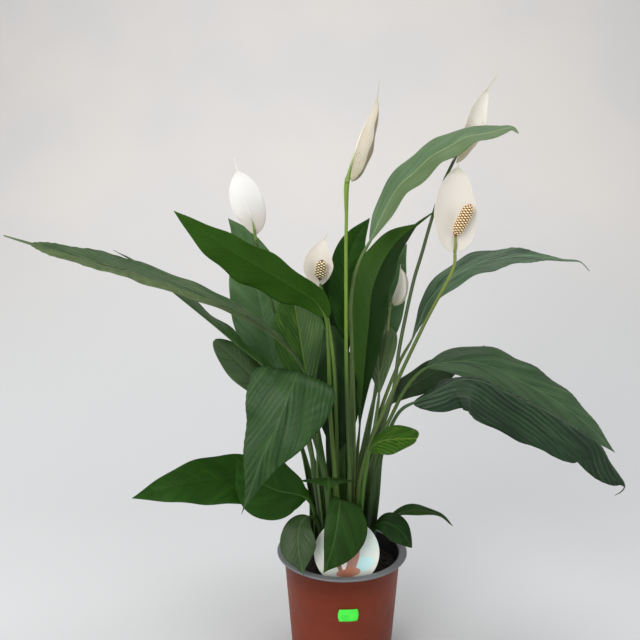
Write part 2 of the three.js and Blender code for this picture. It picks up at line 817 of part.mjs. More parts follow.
function potBody() {
  const under = POT_HEIGHT - RIM_THICKNESS;
  const ringInside = BASE_RADIUS - FOOT_WIDTH;
  const profile = [
    [0, 0],
    [HUB_RADIUS, 0],
    [HUB_RADIUS + 3, FLOOR_LIFT],
    [ringInside - 3, FLOOR_LIFT],
    [ringInside, 0],
    [BASE_RADIUS - 1.5, 0],
    [outerRadius(1.5), 1.5],
    [NECK_RADIUS, under],
    [RIM_RADIUS - 1, under],
    [RIM_RADIUS, under + 1],
    [RIM_RADIUS - 0.8, POT_HEIGHT],
    [innerRadius(POT_HEIGHT) + 1.5, POT_HEIGHT],
    [innerRadius(POT_HEIGHT - 1.5), POT_HEIGHT - 1.5],
    [innerRadius(WALL), WALL],
    [ringInside + 1, WALL],
    [ringInside - 2, FLOOR_LIFT + WALL],
    [HUB_RADIUS + 2, FLOOR_LIFT + WALL],
    [HUB_RADIUS - 1, WALL],
    [0, WALL],
  ];
  const drains = [];
  for (let i = 0; i < DRAIN_HOLES; i += 1) {
    const turn = (i / DRAIN_HOLES) * 2 * Math.PI;
    const drain = new THREE.CylinderGeometry(DRAIN_RADIUS, DRAIN_RADIUS, 20, 10);
    drain.rotateX(Math.PI / 2);
    drain.translate(DRAIN_CIRCLE * Math.cos(turn), DRAIN_CIRCLE * Math.sin(turn), 0);
    drains.push(drain);
  }
  return cut(turned(profile, POT_SEGMENTS), drains);
}

function soilBody(holes) {
  const ringInside = BASE_RADIUS - FOOT_WIDTH;
  const flat = Math.cos(Math.PI / POT_SEGMENTS); // the wall's facets lie a little inside its circle
  const side = (z) => (innerRadius(z) * flat - GAP);
  const low = WALL + GAP;
  const profile = [
    [0, low],
    [HUB_RADIUS - 2, low],
    [HUB_RADIUS + 1, FLOOR_LIFT + low],
    [ringInside, FLOOR_LIFT + low],
    [side(FLOOR_LIFT + low), FLOOR_LIFT + low],
    [side(SOIL_TOP), SOIL_TOP],
    [SOIL_RINGS * 2, SOIL_TOP],
    [SOIL_RINGS, SOIL_TOP],
    [0, SOIL_TOP],
  ];
  const geometry = turned(profile, SOIL_SEGMENTS);
  const place = geometry.attributes.position;
  for (let i = 0; i < place.count; i += 1) {
    const x = place.getX(i);
    const y = place.getY(i);
    const lump = Math.sin(x * 0.31 + 1) * Math.cos(y * 0.27) - 1;
    const inside = place.getZ(i) === SOIL_TOP && Math.hypot(x, y) < 2.5 * SOIL_RINGS;
    if (inside) place.setZ(i, SOIL_TOP + SOIL_LUMPS * lump * 0.5);
  }
  return cut(geometry, holes);
}

function cardPlaced(geometry) {
  geometry.rotateX(radians(90 - CARD_LEAN));
  geometry.translate(...CARD_CENTRE);
  return geometry;
}

function cardBody() {
  const shape = new THREE.Shape();
  const shoulder = Math.acos(STAKE_WIDTH / 2 / CARD_RADIUS);
  shape.moveTo(-STAKE_WIDTH / 2, -CARD_RADIUS - STAKE_LENGTH + 8);
  shape.lineTo(0, -CARD_RADIUS - STAKE_LENGTH);
  shape.lineTo(STAKE_WIDTH / 2, -CARD_RADIUS - STAKE_LENGTH + 8);
  shape.lineTo(STAKE_WIDTH / 2, -CARD_RADIUS * Math.sin(shoulder));
  shape.absarc(0, 0, CARD_RADIUS, -shoulder, Math.PI + shoulder, false);
  const geometry = new THREE.ExtrudeGeometry(shape, {
    depth: CARD_THICKNESS,
    bevelEnabled: false,
    curveSegments: 32,
  });
  return cardPlaced(geometry.translate(0, 0, -CARD_THICKNESS / 2));
}

function cardSlot() {
  const slack = 2 * GAP;
  const slot = new THREE.BoxGeometry(STAKE_WIDTH + slack, STAKE_LENGTH + slack, CARD_THICKNESS + slack);
  return cardPlaced(slot.translate(0, -CARD_RADIUS - STAKE_LENGTH / 2, 0));
}

// Price sticker: a thin bare plate with waved short ends, bent round the wall.
function stickerBody() {
  const columns = 8;
  const rings = [];
  for (let k = 0; k <= columns; k += 1) {
    const ring = [];
    for (const [up, out] of [[1, 0], [1, 1], [0, 1], [-1, 1], [-1, 0], [0, 0]]) {
      const z = STICKER_MIDDLE + (up * STICKER_HEIGHT) / 2;
      const radius = outerRadius(z) + GAP + out * STICKER_THICKNESS;
      const end = (k === 0 || k === columns) && up === 0 ? STICKER_WAVE * Math.sign(k - 1) : 0;
      const arc = (k / columns - 0.5) * STICKER_WIDTH + end;
      const turn = arc / radius + radians(STICKER_TURN - 90);
      ring.push(new THREE.Vector3(radius * Math.cos(turn), radius * Math.sin(turn), z));
    }
    rings.push(ring);
  }
  return loft(rings);
}

// ---- assembly -----------------------------------------------------------------------------

const holes = [...LEAVES, ...BLOOMS].map(stemHole);
addPiece('pot', potBody(), COLOURS.pot, 0.45);
addPiece('soil', soilBody([...holes, cardSlot()]), COLOURS.soil, 0.95);
addPiece('plant_label', cardBody(), COLOURS.card, 0.5);
addPiece('price_sticker', stickerBody(), COLOURS.sticker, 0.6);
for (const leaf of LEAVES) addPiece(leaf.name, leafBody(leaf), COLOURS.leaf, 0.4);
for (const bloom of BLOOMS) bloomPieces(bloom);

export default group;
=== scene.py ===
"""Potted peace lily: fine surfaces, materials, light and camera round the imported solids.

The leaves and blooms follow the spines of the solids, in millimetres, with many more
cross-sections, veins and florets. Meshes are made in metres.
"""

import math
from collections import namedtuple
from types import SimpleNamespace

import bpy
import numpy as np
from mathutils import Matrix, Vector


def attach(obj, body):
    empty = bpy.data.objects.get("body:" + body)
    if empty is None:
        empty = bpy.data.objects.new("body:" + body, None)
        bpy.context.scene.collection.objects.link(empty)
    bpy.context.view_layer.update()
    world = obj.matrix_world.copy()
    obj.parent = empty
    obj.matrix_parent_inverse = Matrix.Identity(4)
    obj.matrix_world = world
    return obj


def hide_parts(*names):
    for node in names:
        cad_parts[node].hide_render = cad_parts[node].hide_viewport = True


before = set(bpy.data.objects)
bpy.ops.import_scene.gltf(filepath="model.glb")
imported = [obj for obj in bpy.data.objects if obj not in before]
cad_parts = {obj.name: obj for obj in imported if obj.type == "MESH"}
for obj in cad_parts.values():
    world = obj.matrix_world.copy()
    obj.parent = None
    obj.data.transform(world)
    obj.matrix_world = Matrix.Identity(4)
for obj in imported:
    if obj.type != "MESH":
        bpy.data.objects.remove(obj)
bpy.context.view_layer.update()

MM = 0.001
TURN = 2 * math.pi

# ---- dimensions shared with the solids, in millimetres ------------

POT_HEIGHT = 150
RIM_RADIUS = 85
RIM_THICKNESS = 3
NECK_RADIUS = 76
BASE_RADIUS = 64
WALL = 1.8
FOOT_WIDTH = 9
HUB_RADIUS = 20
FLOOR_LIFT = 4
DRAIN_HOLES = 8
DRAIN_RADIUS = 4.5
DRAIN_CIRCLE = 37

SOIL_TOP = 128
ROOT_DEPTH = 18
STRAIGHT = ROOT_DEPTH + 6  # stretch of a stem that stands upright in and just above the soil

CARD_RADIUS = 40
CARD_THICKNESS = 0.9
CARD_CENTRE = (4, -57, 171)
CARD_LEAN = 9  # degrees, top away from the front
STAKE_WIDTH = 12
STAKE_LENGTH = 30

STICKER_WIDTH = 24
STICKER_HEIGHT = 16
STICKER_THICKNESS = 0.6
STICKER_MIDDLE = 98  # height of its centre
STICKER_TURN = 4.5  # degrees round the pot from the front
STICKER_WAVE = 1
STICKER_GAP = 0.3

PETIOLE_BASE = 3.3  # leaf stem: radius at the soil
PETIOLE_TOP = 2.1
STALK_BASE = 2.8  # bloom stem: radius at the soil
STALK_TOP = 1.9

TIGHTEST = 0.8  # smallest radius of a blade's curl
FLAT_UNDER = 4  # half width under which a blade loses its fold
LOBE_CURVE = 3  # a lobe reaches back along the edge, and hardly beside the midrib
WAVE_TURN = 1.9  # radians of the edge's waves from one station to the next

# ---- fineness and small forms, in millimetres ------------

STEM_ROW = 5  # spacing of the cross-sections of stems
STEM_SIDES = 18
STEM_GROOVE = 0.12  # how far the upper side of a leaf stem is hollowed, as a share of its radius
GROOVE_WIDTH = 0.7
SHEATH = 1.25  # how much wider than deep a leaf stem is in its sheath
SHEATH_FADE = 0.35  # share of the stem over which the sheath runs out
SHEATH_HOLLOW = 1.2
SHEATH_CURL = 0.7
RIB_RADIUS = 1.35  # midrib under a blade, at its base
RIB_SUNK = 0.75  # how far a midrib lies under the blade, as a share of its radius
RIB_BLEND = 12  # stretch before and after the blade's base where the stem turns into the midrib
MIDRIB_GROOVE = 0.5
GROOVE_HALF = 1.5  # half width of the groove over a midrib
VEIN_BEND = 0.012  # how much more the side veins run toward the tip near the edge
COLUMN_POWER = 1.25  # over 1, the columns of a blade stand closer beside the midrib
EDGE_THINNER = 0.45  # how much thinner a blade is at its edge
SMOOTH_MIDDLE = 3  # stretch beside the midrib in which the swellings fade out
SMOOTH_TIP = 12  # half width under which they fade out
RIB_TAPER = 0.8
STEM_GREEN = ((84, 112, 40), 0.3)  # what the blade's colour takes on in the stem, and how much
# what the blade's deeper colour takes on at the foot of a stem, darker as painted shade under the leaves
FOOT_GREEN = ((54, 72, 28), 0.5)
BLADE_INSET = 0.4  # from the base of a blade to its first cross-section
STALK_SUNK = 0.92  # how far a stalk lies behind its spathe, as a share of its radius
FLARE_LENGTH = 45  # end of a stalk over which it moves behind the spathe
SPATHE_GROOVE = 0.2
SPADIX_GRID = (110, 96)
SPADIX_SEAT = 0.5
SPADIX_FOOT = 4
SPADIX_STEM = 1.4
SPADIX_STEP = 3
CLUB_OFF = 1.4  # from the middle of the spathe to the skin of the club
FLORET_SIZE = 3.2
FLORET_HEIGHT = 2.2
FLORET_SUNK = 0.45  # share of a floret's height that lies under the skin of the club
FOOT_BELOW = 5  # how far below the spathe's base a stalk on its face starts
FOOT_RISE = 2.6  # how far such a stalk stands off the spathe

# What a leaf has where its row says nothing else, in mm and degrees, or as a share.
# fold: how far the halves are raised. wrap: how far they curl. wave: height of the edge's waves.
# slant: how far the sections lean toward the tip. lobe: how far the base reaches back beside the
# stem. peak: where the blade is widest. thread, tip: length and half width of its drawn-out end.
# halves: width of the left and right half, seen with the tip away, and paint: a colour and its
# share for each, mostly painted light and shade, one half lit and the other shaded. petiole: colour
# of the stem. rib: strength of the midrib. sheath: how far up the stem the sheath reaches. row,
# columns, thick, station: spacing and points of the sections, thickness, and spacing of the edge's
# waves. short: from the last section to the tip.
LEAF_USUAL = dict(
    fold=0, wrap=-20, wave=2, slant=0.35, lobe=0, peak=0.4, fullness=1.1, thread=0, tip=0.3, halves=(1, 1),
    paint=(None, None), petiole=None, rib=1, sheath=0.72, row=1.8, columns=33, thick=0.6, station=17,
    short=0.9)
# The same for a spathe. neck: length of its narrow foot. rib: how far up its back the stalk runs on,
# and green: where that has turned white. flare: how much thicker the stalk ends. lean: how far the
# club leans to the right and forward. foot: height of the club's foot above the spathe's base.
BLOOM_USUAL = dict(
    fold=0, wave=0.8, slant=0, lobe=3, peak=0.37, fullness=0.85, tip=0.3, halves=(1, 1), neck=5, rib=0.8,
    green=0.25, flare=1, lean=(0, 0.12), foot=SPADIX_FOOT, row=1.4, columns=41, thick=0.5, station=11,
    short=0.3)

# ---- plants: places, spines, sizes and looks ------------

# Each route runs up the stem and along the blade to its tip. face: where the upper side looks, at
# the base and at the tip.
LEAVES = [dict(
    name="long_left", look="strand", root=(-18, -9), blade=395, width=56,
    face=((0.3, -0.2, 1), (0.1, -0.4, 1)), fold=18, peak=0.62, fullness=0.62, thread=30, tip=1.1, wave=0.9,
    paint=(((96, 116, 70), 0.6), ((58, 86, 52), 0.6)), petiole=(62, 90, 34),
    route=((-30, -15, 247), (-32, -19, 325), (-40, -24, 373), (-60, -32, 411), (-98, -44, 448),
    (-146, -56, 476), (-202, -68, 499), (-266, -80, 522), (-320, -88, 537), (-378, -95, 556))
), dict(
    name="long_left_behind", look="grey", root=(-21, 1), blade=255, width=52,
    face=((0.4, 0.3, 1), (0.4, 0.2, 1)), fold=25, peak=0.32,
    route=((-36, -3, 244), (-44, -4, 305), (-66, -6, 360), (-140, -16, 430), (-200, -24, 482),
    (-248, -30, 522), (-277, -34, 540))
), dict(
    name="broad_left", look="saturated", root=(-5, -22), blade=205, width=61,
    face=((0.1, 0.5, 0.9), (-0.2, 0.7, 0.7)), fold=8, peak=0.32, lobe=12, rib=0.4, sheath=0.45,
    halves=(1, 1.28), paint=(((60, 98, 24), 0.5), ((60, 98, 24), 0.5)), petiole=(70, 96, 30),
    route=((-10, -37, 256), (-16, -44, 340), (-19, -52, 425), (-23, -57, 463), (-36, -64, 482),
    (-52, -72, 493), (-98, -86, 522), (-128, -96, 540), (-159, -105, 561), (-186, -112, 582))
), dict(
    name="upright_back_left", look="blue", root=(-18, 22), blade=255, width=86,
    face=((0.4, -0.9, 0.2), (0.3, -1, 0.2)), fold=14,
    route=((-33, 30, 234), (-48, 36, 290), (-67, 40, 340), (-89, 44, 386), (-102, 48, 439), (-112, 50, 486),
    (-122, 50, 530), (-134, 47, 559), (-149, 40, 581))
), dict(
    name="upright_left", look="bright", root=(-11, 1), blade=150, width=68,
    face=((0.1, -1, 0.2), (0.1, -1, 0.1)), fold=22, paint=(None, ((74, 104, 62), 0.7)),
    route=((-22, 4, 240), (-31, 8, 306), (-42, 11, 352), (-49, 13, 391), (-56, 15, 437), (-62, 15, 474),
    (-66, 12, 506))
), dict(
    name="small_left", look="grey", root=(-26, 9), blade=105, width=42,
    face=((0.3, -0.6, 0.7), (0.3, -1, 0.2)), fold=10, fullness=0.7,
    paint=(((72, 92, 62), 0.5), ((66, 86, 56), 0.5)),
    route=((-43, 9, 240), (-56, 8, 293), (-72, 5, 327), (-90, 0, 348), (-113, -6, 377), (-138, -11, 405),
    (-161, -15, 428))
), dict(
    name="front_drooping", look="creased", root=(-15, -19), blade=195, width=100,
    face=((0.25, -0.1, 1), (0, -1, 0.2)), fold=-3, wrap=-8, peak=0.14, fullness=1.5, lobe=13,
    petiole=(48, 78, 30),
    route=((-22, -31, 250), (-37, -45, 315), (-55, -56, 365), (-54, -66, 390), (-54, -80, 400),
    (-55, -98, 400), (-62, -112, 384), (-76, -119, 348), (-93, -121, 312), (-105, -121, 277),
    (-117, -118, 245))
), dict(
    name="lower_left", look="saturated", root=(-29, -3), blade=205, width=70,
    face=((0, -0.6, 0.8), (-0.2, -0.7, 0.7)), fold=10, peak=0.36, rib=0.5,
    route=((-38, -6, 195), (-42, -10, 222), (-50, -15, 237), (-68, -24, 247), (-101, -36, 256),
    (-145, -48, 261), (-194, -60, 259), (-254, -70, 245))
), dict(
    name="lower_left_behind", look="saturated", root=(-27, -14), blade=105, width=76,
    face=((0.1, -0.9, 0.5), (0.4, -0.9, 0.2)), fold=8, peak=0.34, lobe=8, fullness=1.5,
    route=((-32, -22, 190), (-37, -30, 216), (-44, -38, 231), (-56, -48, 241), (-83, -56, 250),
    (-110, -60, 268), (-131, -60, 293))
), dict(
    name="over_rim_left", look="grey", root=(-20, -25), blade=80, width=46,
    face=((-0.3, -0.6, 0.8), (-0.2, -1, 0.2)), fold=14, lobe=4, fullness=1.7,
    paint=(((52, 66, 42), 0.5), ((46, 60, 38), 0.5)),
    route=((-26, -32, 182), (-36, -38, 206), (-46, -50, 213), (-54, -62, 206), (-55, -72, 186),
    (-48, -81, 152))
), dict(
    name="centre_low", look="mid", root=(1, -33), blade=104, width=60,
    face=((0.1, -0.5, 0.8), (0.1, -1, 0.3)), fold=6, peak=0.36, fullness=1.25, halves=(1.25, 0.5),
    route=((-2, -38, 196), (-3, -45, 226), (-4, -56, 238), (-6, -68, 228), (-10, -77, 205), (-16, -82, 183),
    (-25, -86, 159))
), dict(
    name="front_small", look="mid", root=(-10, -31), blade=66, width=62, face=((0, 0.1, 1), (0, -0.8, 0.6)),
    fold=-4, wrap=-4, wave=0, peak=0.2, fullness=5,
    route=((-14, -38, 200), (-18, -46, 240), (-18, -56, 260), (-19, -90, 277), (-19, -104, 271),
    (-20, -114, 248))
), dict(
    name="over_rim_right", look="dark", root=(24, -24), blade=66, width=38,
    face=((0, -0.4, 1), (0.5, -0.7, 0.5)), fold=8,
    route=((30, -28, 165), (36, -34, 190), (49, -42, 203), (69, -47, 195), (85, -52, 174))
), dict(
    name="narrow_right", look="mid", root=(31, -15), blade=92, width=24,
    face=((0, -0.1, 1), (0.3, -0.1, 0.9)), fold=14,
    route=((35, -18, 160), (43, -20, 187), (65, -20, 203), (96, -20, 210), (123, -22, 204), (141, -24, 190))
), dict(
    name="small_bright", look="bright", root=(13, -31), blade=74, width=44,
    face=((-0.4, -0.4, 0.9), (-0.1, -0.6, 0.8)), fold=10, fullness=0.55,
    route=((20, -36, 200), (25, -41, 248), (29, -44, 280), (33, -49, 300), (44, -58, 311), (63, -72, 318),
    (83, -90, 324))
), dict(
    name="right_upper", look="glossy", root=(34, 5), blade=292, width=84,
    face=((0, -0.5, 0.9), (0.5, -0.6, 0.6)), fold=12, halves=(1, 1.16), petiole=(70, 98, 38),
    route=((44, 2, 244), (50, 3, 293), (67, 13, 329), (86, 23, 361), (112, 32, 384), (158, 36, 392),
    (195, 36, 386), (239, 35, 365), (291, 32, 335), (328, 27, 307), (364, 22, 271))
), dict(
    name="right_lower", look="ribbed", root=(34, -5), blade=330, width=94,
    face=((0.1, -0.6, 0.8), (0.4, -0.7, 0.6)), fold=-38, thread=18, peak=0.42, fullness=0.6,
    route=((44, -13, 247), (50, -19, 287), (70, -30, 341), (91, -38, 357), (112, -42, 369), (131, -45, 381),
    (150, -47, 385), (168, -50, 382), (192, -52, 371), (211, -53, 362), (235, -54, 351), (259, -56, 338),
    (283, -58, 324), (304, -60, 310), (322, -61, 282), (338, -62, 258), (334, -63, 251), (325, -64, 246))
), dict(
    name="right_behind", look="dark", root=(30, 15), blade=165, width=54,
    face=((-0.3, -0.5, 0.8), (-0.2, -0.4, 0.9)), fold=10, thread=14,
    route=((36, 19, 235), (46, 26, 287), (59, 40, 322), (81, 56, 343), (111, 72, 359), (147, 82, 377),
    (178, 88, 396), (205, 92, 405))
), dict(
    name="right_high", look="streaked", root=(21, 14), blade=295, width=54,
    face=((-0.5, -0.5, 0.7), (0.1, -0.35, 0.95)), fold=14, thread=28, peak=0.54, fullness=1.3, tip=1.1,
    petiole=(80, 104, 44),
    route=((30, 15, 239), (47, 19, 317), (74, 26, 389), (91, 30, 421), (103, 33, 447), (113, 36, 470),
    (136, 38, 496), (177, 39, 520), (240, 38, 531), (287, 34, 526), (309, 30, 524), (321, 28, 512))
), dict(
    name="top_right", look="pale", root=(8, -14), blade=240, width=46,
    face=((-0.7, -0.7, 0.3), (-0.2, -0.6, 0.8)), fold=14, peak=0.46, fullness=0.8,
    paint=(((76, 106, 78), 0.5), ((90, 110, 72), 0.5)), petiole=(76, 98, 48),
    route=((12, -22, 250), (12, -26, 330), (10, -29, 430), (9, -30, 476), (16, -31, 519), (34, -31, 556),
    (63, -30, 612), (84, -31, 632), (104, -32, 650), (124, -32, 661), (144, -31, 672), (165, -29, 676),
    (186, -27, 681), (198, -26, 683), (208, -25, 677))
), dict(
    name="centre_tall", look="mid", root=(12, -5), blade=314, width=64,
    face=((-0.4, -0.8, 0.3), (-0.5, -0.6, 0.6)), fold=24, thread=22, peak=0.62, tip=0.9,
    paint=(((64, 104, 28), 0.45), ((22, 46, 14), 0.85)), petiole=(60, 92, 32),
    route=((17, -8, 246), (22, -8, 324), (28, -7, 401), (32, -7, 446), (36, -6, 487), (48, -5, 521),
    (66, -5, 549), (90, -6, 570), (111, -8, 586))
), dict(
    name="centre_tall_behind", look="saturated", root=(-1, -1), blade=165, width=52,
    face=((0.2, -1, 0.1), (0.3, -0.9, 0.4)), fold=18,
    route=((-2, 1, 242), (0, 4, 321), (3, 10, 399), (6, 15, 457), (6, 16, 505), (12, 14, 545), (34, 8, 580))
), dict(
    name="back_right_tall", look="blue", root=(14, 24), blade=160, width=54,
    face=((-0.3, -1, 0.2), (-0.2, -1, 0)), fold=14,
    route=((24, 34, 240), (38, 42, 300), (49, 52, 370), (55, 58, 431), (63, 62, 485), (75, 62, 523),
    (88, 60, 548))
), dict(
    name="centre_right_short", look="crumpled", root=(23, 3), blade=98, width=52,
    face=((-0.1, -1, 0.2), (0, -0.8, 0.6)), fold=14, peak=0.7, fullness=0.6,
    route=((27, 5, 185), (34, 7, 240), (42, 9, 306), (48, 11, 356), (47, 15, 395), (46, 24, 425),
    (45, 38, 440))
), dict(
    name="inner_drooping", look="dark", root=(-6, 10), blade=190, width=56,
    face=((0, -0.6, 0.8), (0, -1, 0.1)), fold=12, peak=0.55,
    route=((-13, 16, 236), (-18, 22, 303), (-20, 27, 370), (-21, 24, 422), (-18, 14, 440), (-13, 4, 428),
    (-7, -4, 375), (-6, -8, 324), (-7, -8, 279))
), dict(
    name="back_upright", look="dark", root=(-2, 19), blade=160, width=58,
    face=((0, -1, 0.1), (0.1, -0.9, 0.4)), fold=16,
    route=((-5, 28, 232), (-10, 36, 299), (-14, 42, 360), (-17, 48, 420), (-17, 54, 470), (-14, 62, 510))
), dict(
    name="back_arching", look="mid", root=(3, 29), blade=150, width=62, face=((0, -0.2, 1), (0, 0.5, 0.9)),
    fold=12,
    route=((8, 42, 240), (14, 56, 320), (24, 74, 400), (38, 104, 452), (52, 150, 468), (62, 200, 440))
), dict(
    name="back_left_arching", look="mid", root=(-8, 28), blade=150, width=58,
    face=((0, -0.1, 1), (-0.4, 0.6, 0.8)), fold=12,
    route=((-18, 42, 205), (-30, 62, 262), (-48, 88, 305), (-72, 118, 325), (-104, 156, 318),
    (-130, 188, 290))
)]

# white: the spathe's colour, that of its base, whether old florets' specks show, and how green its
# tip is. stalk: the colour of the stem, that nearer the soil, darker as painted shade under the leaves,
# and where that gives way, in mm along the stem. club: colours of the florets and between them.
# spadix: length and radius of the club.
BLOOMS = [dict(
    name="left", root=(-16, 12), spathe=87, thread=17, width=48, wrap=50, face=((0.2, 1, 0.1), (0, 1, 0.2)),
    spadix=(40, 5.5), neck=12, lobe=5, peak=0.47, fullness=0.66, rib=0.42, halves=(0.96, 1.06),
    white=((244, 243, 243), (236, 230, 224), False, 0.1), stalk=((108, 138, 52), (52, 78, 32), (440, 520)),
    club=((240, 226, 190), (120, 78, 36)), green=0.36,
    route=((-27, 18, 237), (-41, 25, 319), (-58, 26, 350), (-78, 25, 422), (-95, 14, 488), (-107, 2, 546),
    (-112, -5, 574), (-119, -10, 596), (-124, -12, 615), (-129, -12, 634), (-133, -12, 651))
), dict(
    name="tall_closed", root=(5, -24), spathe=102, thread=20, width=46, wrap=125,
    face=((1, -0.2, 0.2), (1, -0.2, 0)), spadix=(46, 4.2), flare=1.6,
    white=((222, 215, 200), (204, 200, 174), True, 0.4), stalk=((106, 134, 46), (52, 78, 28), (230, 400)),
    club=((238, 228, 200), (160, 126, 80)), green=0.45,
    route=((8, -38, 256), (4, -44, 359), (2, -48, 481), (3, -50, 597), (8, -50, 632), (21, -49, 677),
    (36, -48, 711), (39, -48, 733))
), dict(
    name="top_right", root=(21, -11), spathe=84, thread=30, width=38, wrap=62,
    face=((0.6, -0.8, 0.3), (0.6, -0.8, 0)), spadix=(19, 3.6), lobe=24, neck=7,
    white=((238, 236, 228), (226, 218, 192), True, 0.3), stalk=((60, 78, 42), (66, 84, 38), (100, 260)),
    club=((238, 226, 192), (120, 84, 40)),
    route=((27, -19, 249), (44, -22, 302), (62, -24, 364), (69, -22, 416), (76, -20, 454), (88, -12, 505),
    (97, -8, 534), (107, -4, 569), (120, 0, 611), (126, 4, 626), (142, 6, 658), (147, 8, 670),
    (154, 10, 682), (163, 12, 709), (174, 13, 730), (183, 13, 745), (196, 14, 762))
), dict(
    name="right", root=(16, -20), spathe=101, thread=7, width=54, wrap=35,
    face=((0, -1, 0.2), (0.1, -1, 0.1)), spadix=(35, 6.5), lean=(0.5, 0.3), neck=7, lobe=4, peak=0.4,
    fullness=0.62, foot=14, white=((232, 228, 222), (230, 226, 220), False, 0.4),
    stalk=((138, 150, 58), (62, 84, 34), (300, 560)), club=((244, 228, 186), (132, 84, 34)), green=0.2,
    route=((21, -31, 252), (35, -38, 306), (68, -45, 390), (84, -48, 427), (98, -50, 458), (113, -50, 487),
    (124, -50, 508), (130, -49, 524), (130, -48, 541), (129, -46, 569), (128, -45, 598), (130, -46, 621),
    (132, -48, 642))
), dict(
    name="small", root=(-5, -11), spathe=62, thread=8, width=40, wrap=44,
    face=((0, -1, 0.3), (0.1, -1, 0.2)), spadix=(20, 6.2), lean=(0.35, 0.2), fullness=1.15,
    white=((246, 241, 235), (244, 238, 230), False, 0.3), stalk=((92, 122, 48), (56, 84, 30), (150, 340)),
    club=((255, 240, 196), (84, 44, 14)),
    route=((-6, -11, 246), (-8, -14, 326), (-12, -18, 404), (-19, -21, 454), (-27, -22, 491),
    (-31, -21, 518), (-28, -22, 540), (-19, -23, 562))
), dict(
    name="bud", root=(10, 6), spathe=52, thread=5, width=42, wrap=150,
    face=((0.85, -0.5, 0), (0.85, -0.5, 0)), spadix=None,
    white=((244, 242, 234), (232, 230, 212), False, 0.3), stalk=((120, 140, 84), (60, 86, 34), (180, 340)),
    route=((20, 10, 241), (36, 18, 320), (54, 27, 390), (61, 30, 441), (64, 29, 464), (69, 29, 481),
    (74, 29, 500), (76, 30, 521))
)]

# ---- looks ------------

# Screen colours of a blade: upper side, its deeper patches, the veins, and light coming through.
# share: how much light comes through. rough: roughness. lines: strength of the veins' lines. ridge:
# height of the swellings between veins, spacing: of the veins, in mm, and slope: how far they run
# toward the tip for each step outward. The crease value is the strength of the painted shade in the
# troughs between veins. sheen: of the highlights. midrib: strength of its colour.
Look = namedtuple("Look", "upper deep vein through share rough lines ridge spacing slope crease sheen"
                          " midrib", defaults=(0, 0.24, 0.5))
LOOKS = {
    "saturated": Look((41, 81, 16), (31, 67, 10), (56, 93, 22), (79, 132, 12), 0.4, 0.5, 0.12, 0.1, 9, 0.9,
        sheen=0.16, midrib=0.15),
    "grey": Look((49, 79, 34), (35, 64, 24), (77, 102, 55), (81, 115, 30), 0.18, 0.4, 0.3, 0.22, 9, 1.3),
    "creased": Look((47, 78, 37), (31, 60, 23), (69, 93, 54), (69, 104, 26), 0.16, 0.38, 0.4, 1.7, 26, 4.2,
        crease=0.6, sheen=0.18),
    "strand": Look((54, 78, 38), (35, 59, 29), (103, 122, 77), (88, 122, 42), 0.16, 0.45, 0.9, 1.4, 30, 6.5,
        crease=0.8),
    "pale": Look((92, 119, 82), (74, 102, 62), (155, 174, 131), (138, 170, 95), 0.22, 0.5, 0.6, 0.3, 20, 7),
    "streaked": Look((74, 101, 74), (36, 61, 40), (120, 145, 116), (96, 130, 50), 0.14, 0.42, 0.9, 1.0, 26,
        6, crease=0.6),
    "crumpled": Look((82, 106, 63), (44, 68, 32), (125, 144, 104), (91, 124, 48), 0.16, 0.46, 0.8, 0.9, 16,
        3.6, crease=0.7),
    "blue": Look((90, 122, 82), (70, 102, 60), (105, 139, 90), (125, 171, 67), 0.25, 0.45, 0.15, 0.1, 9,
        1.0),
    "mid": Look((34, 67, 14), (25, 52, 9), (57, 89, 25), (72, 118, 10), 0.26, 0.5, 0.22, 0.2, 9, 1.4,
        sheen=0.14),
    "glossy": Look((64, 91, 59), (42, 68, 40), (90, 116, 84), (88, 126, 38), 0.16, 0.34, 0.35, 0.6, 14, 2.6,
        crease=0.4),
    "ribbed": Look((31, 56, 32), (18, 38, 20), (65, 90, 63), (54, 90, 27), 0.1, 0.36, 0.8, 1.5, 30, 5,
        crease=0.7),
    # dark: a shaded copy for leaves inside and under the crown, its darkness painted shade
    "dark": Look((25, 54, 15), (17, 40, 10), (42, 71, 27), (55, 92, 17), 0.16, 0.46, 0.18, 0.16, 9, 1.2,
        sheen=0.13),
    "bright": Look((50, 90, 18), (34, 74, 13), (122, 150, 56), (92, 144, 19), 0.34, 0.4, 0.8, 0.5, 11, 2.2,
        crease=0.3),
}
PLAIN = Look(*[None] * 7, ridge=0, spacing=9, slope=0)  # a spathe's skin doesn't swell between veins


def linear(colour):
    """A screen colour, 0 to 255, as the linear colour that a shader takes."""
    channels = [c / 255 for c in colour]
    return tuple(c / 12.92 if c < 0.04045 else ((c + 0.055) / 1.055) ** 2.4 for c in channels) + (1,)


def scaled(colour, factor):
    return [c * factor for c in colour]


def blend(a, b, share):
    return [c * (1 - share) + d * share for c, d in zip(a, b)]


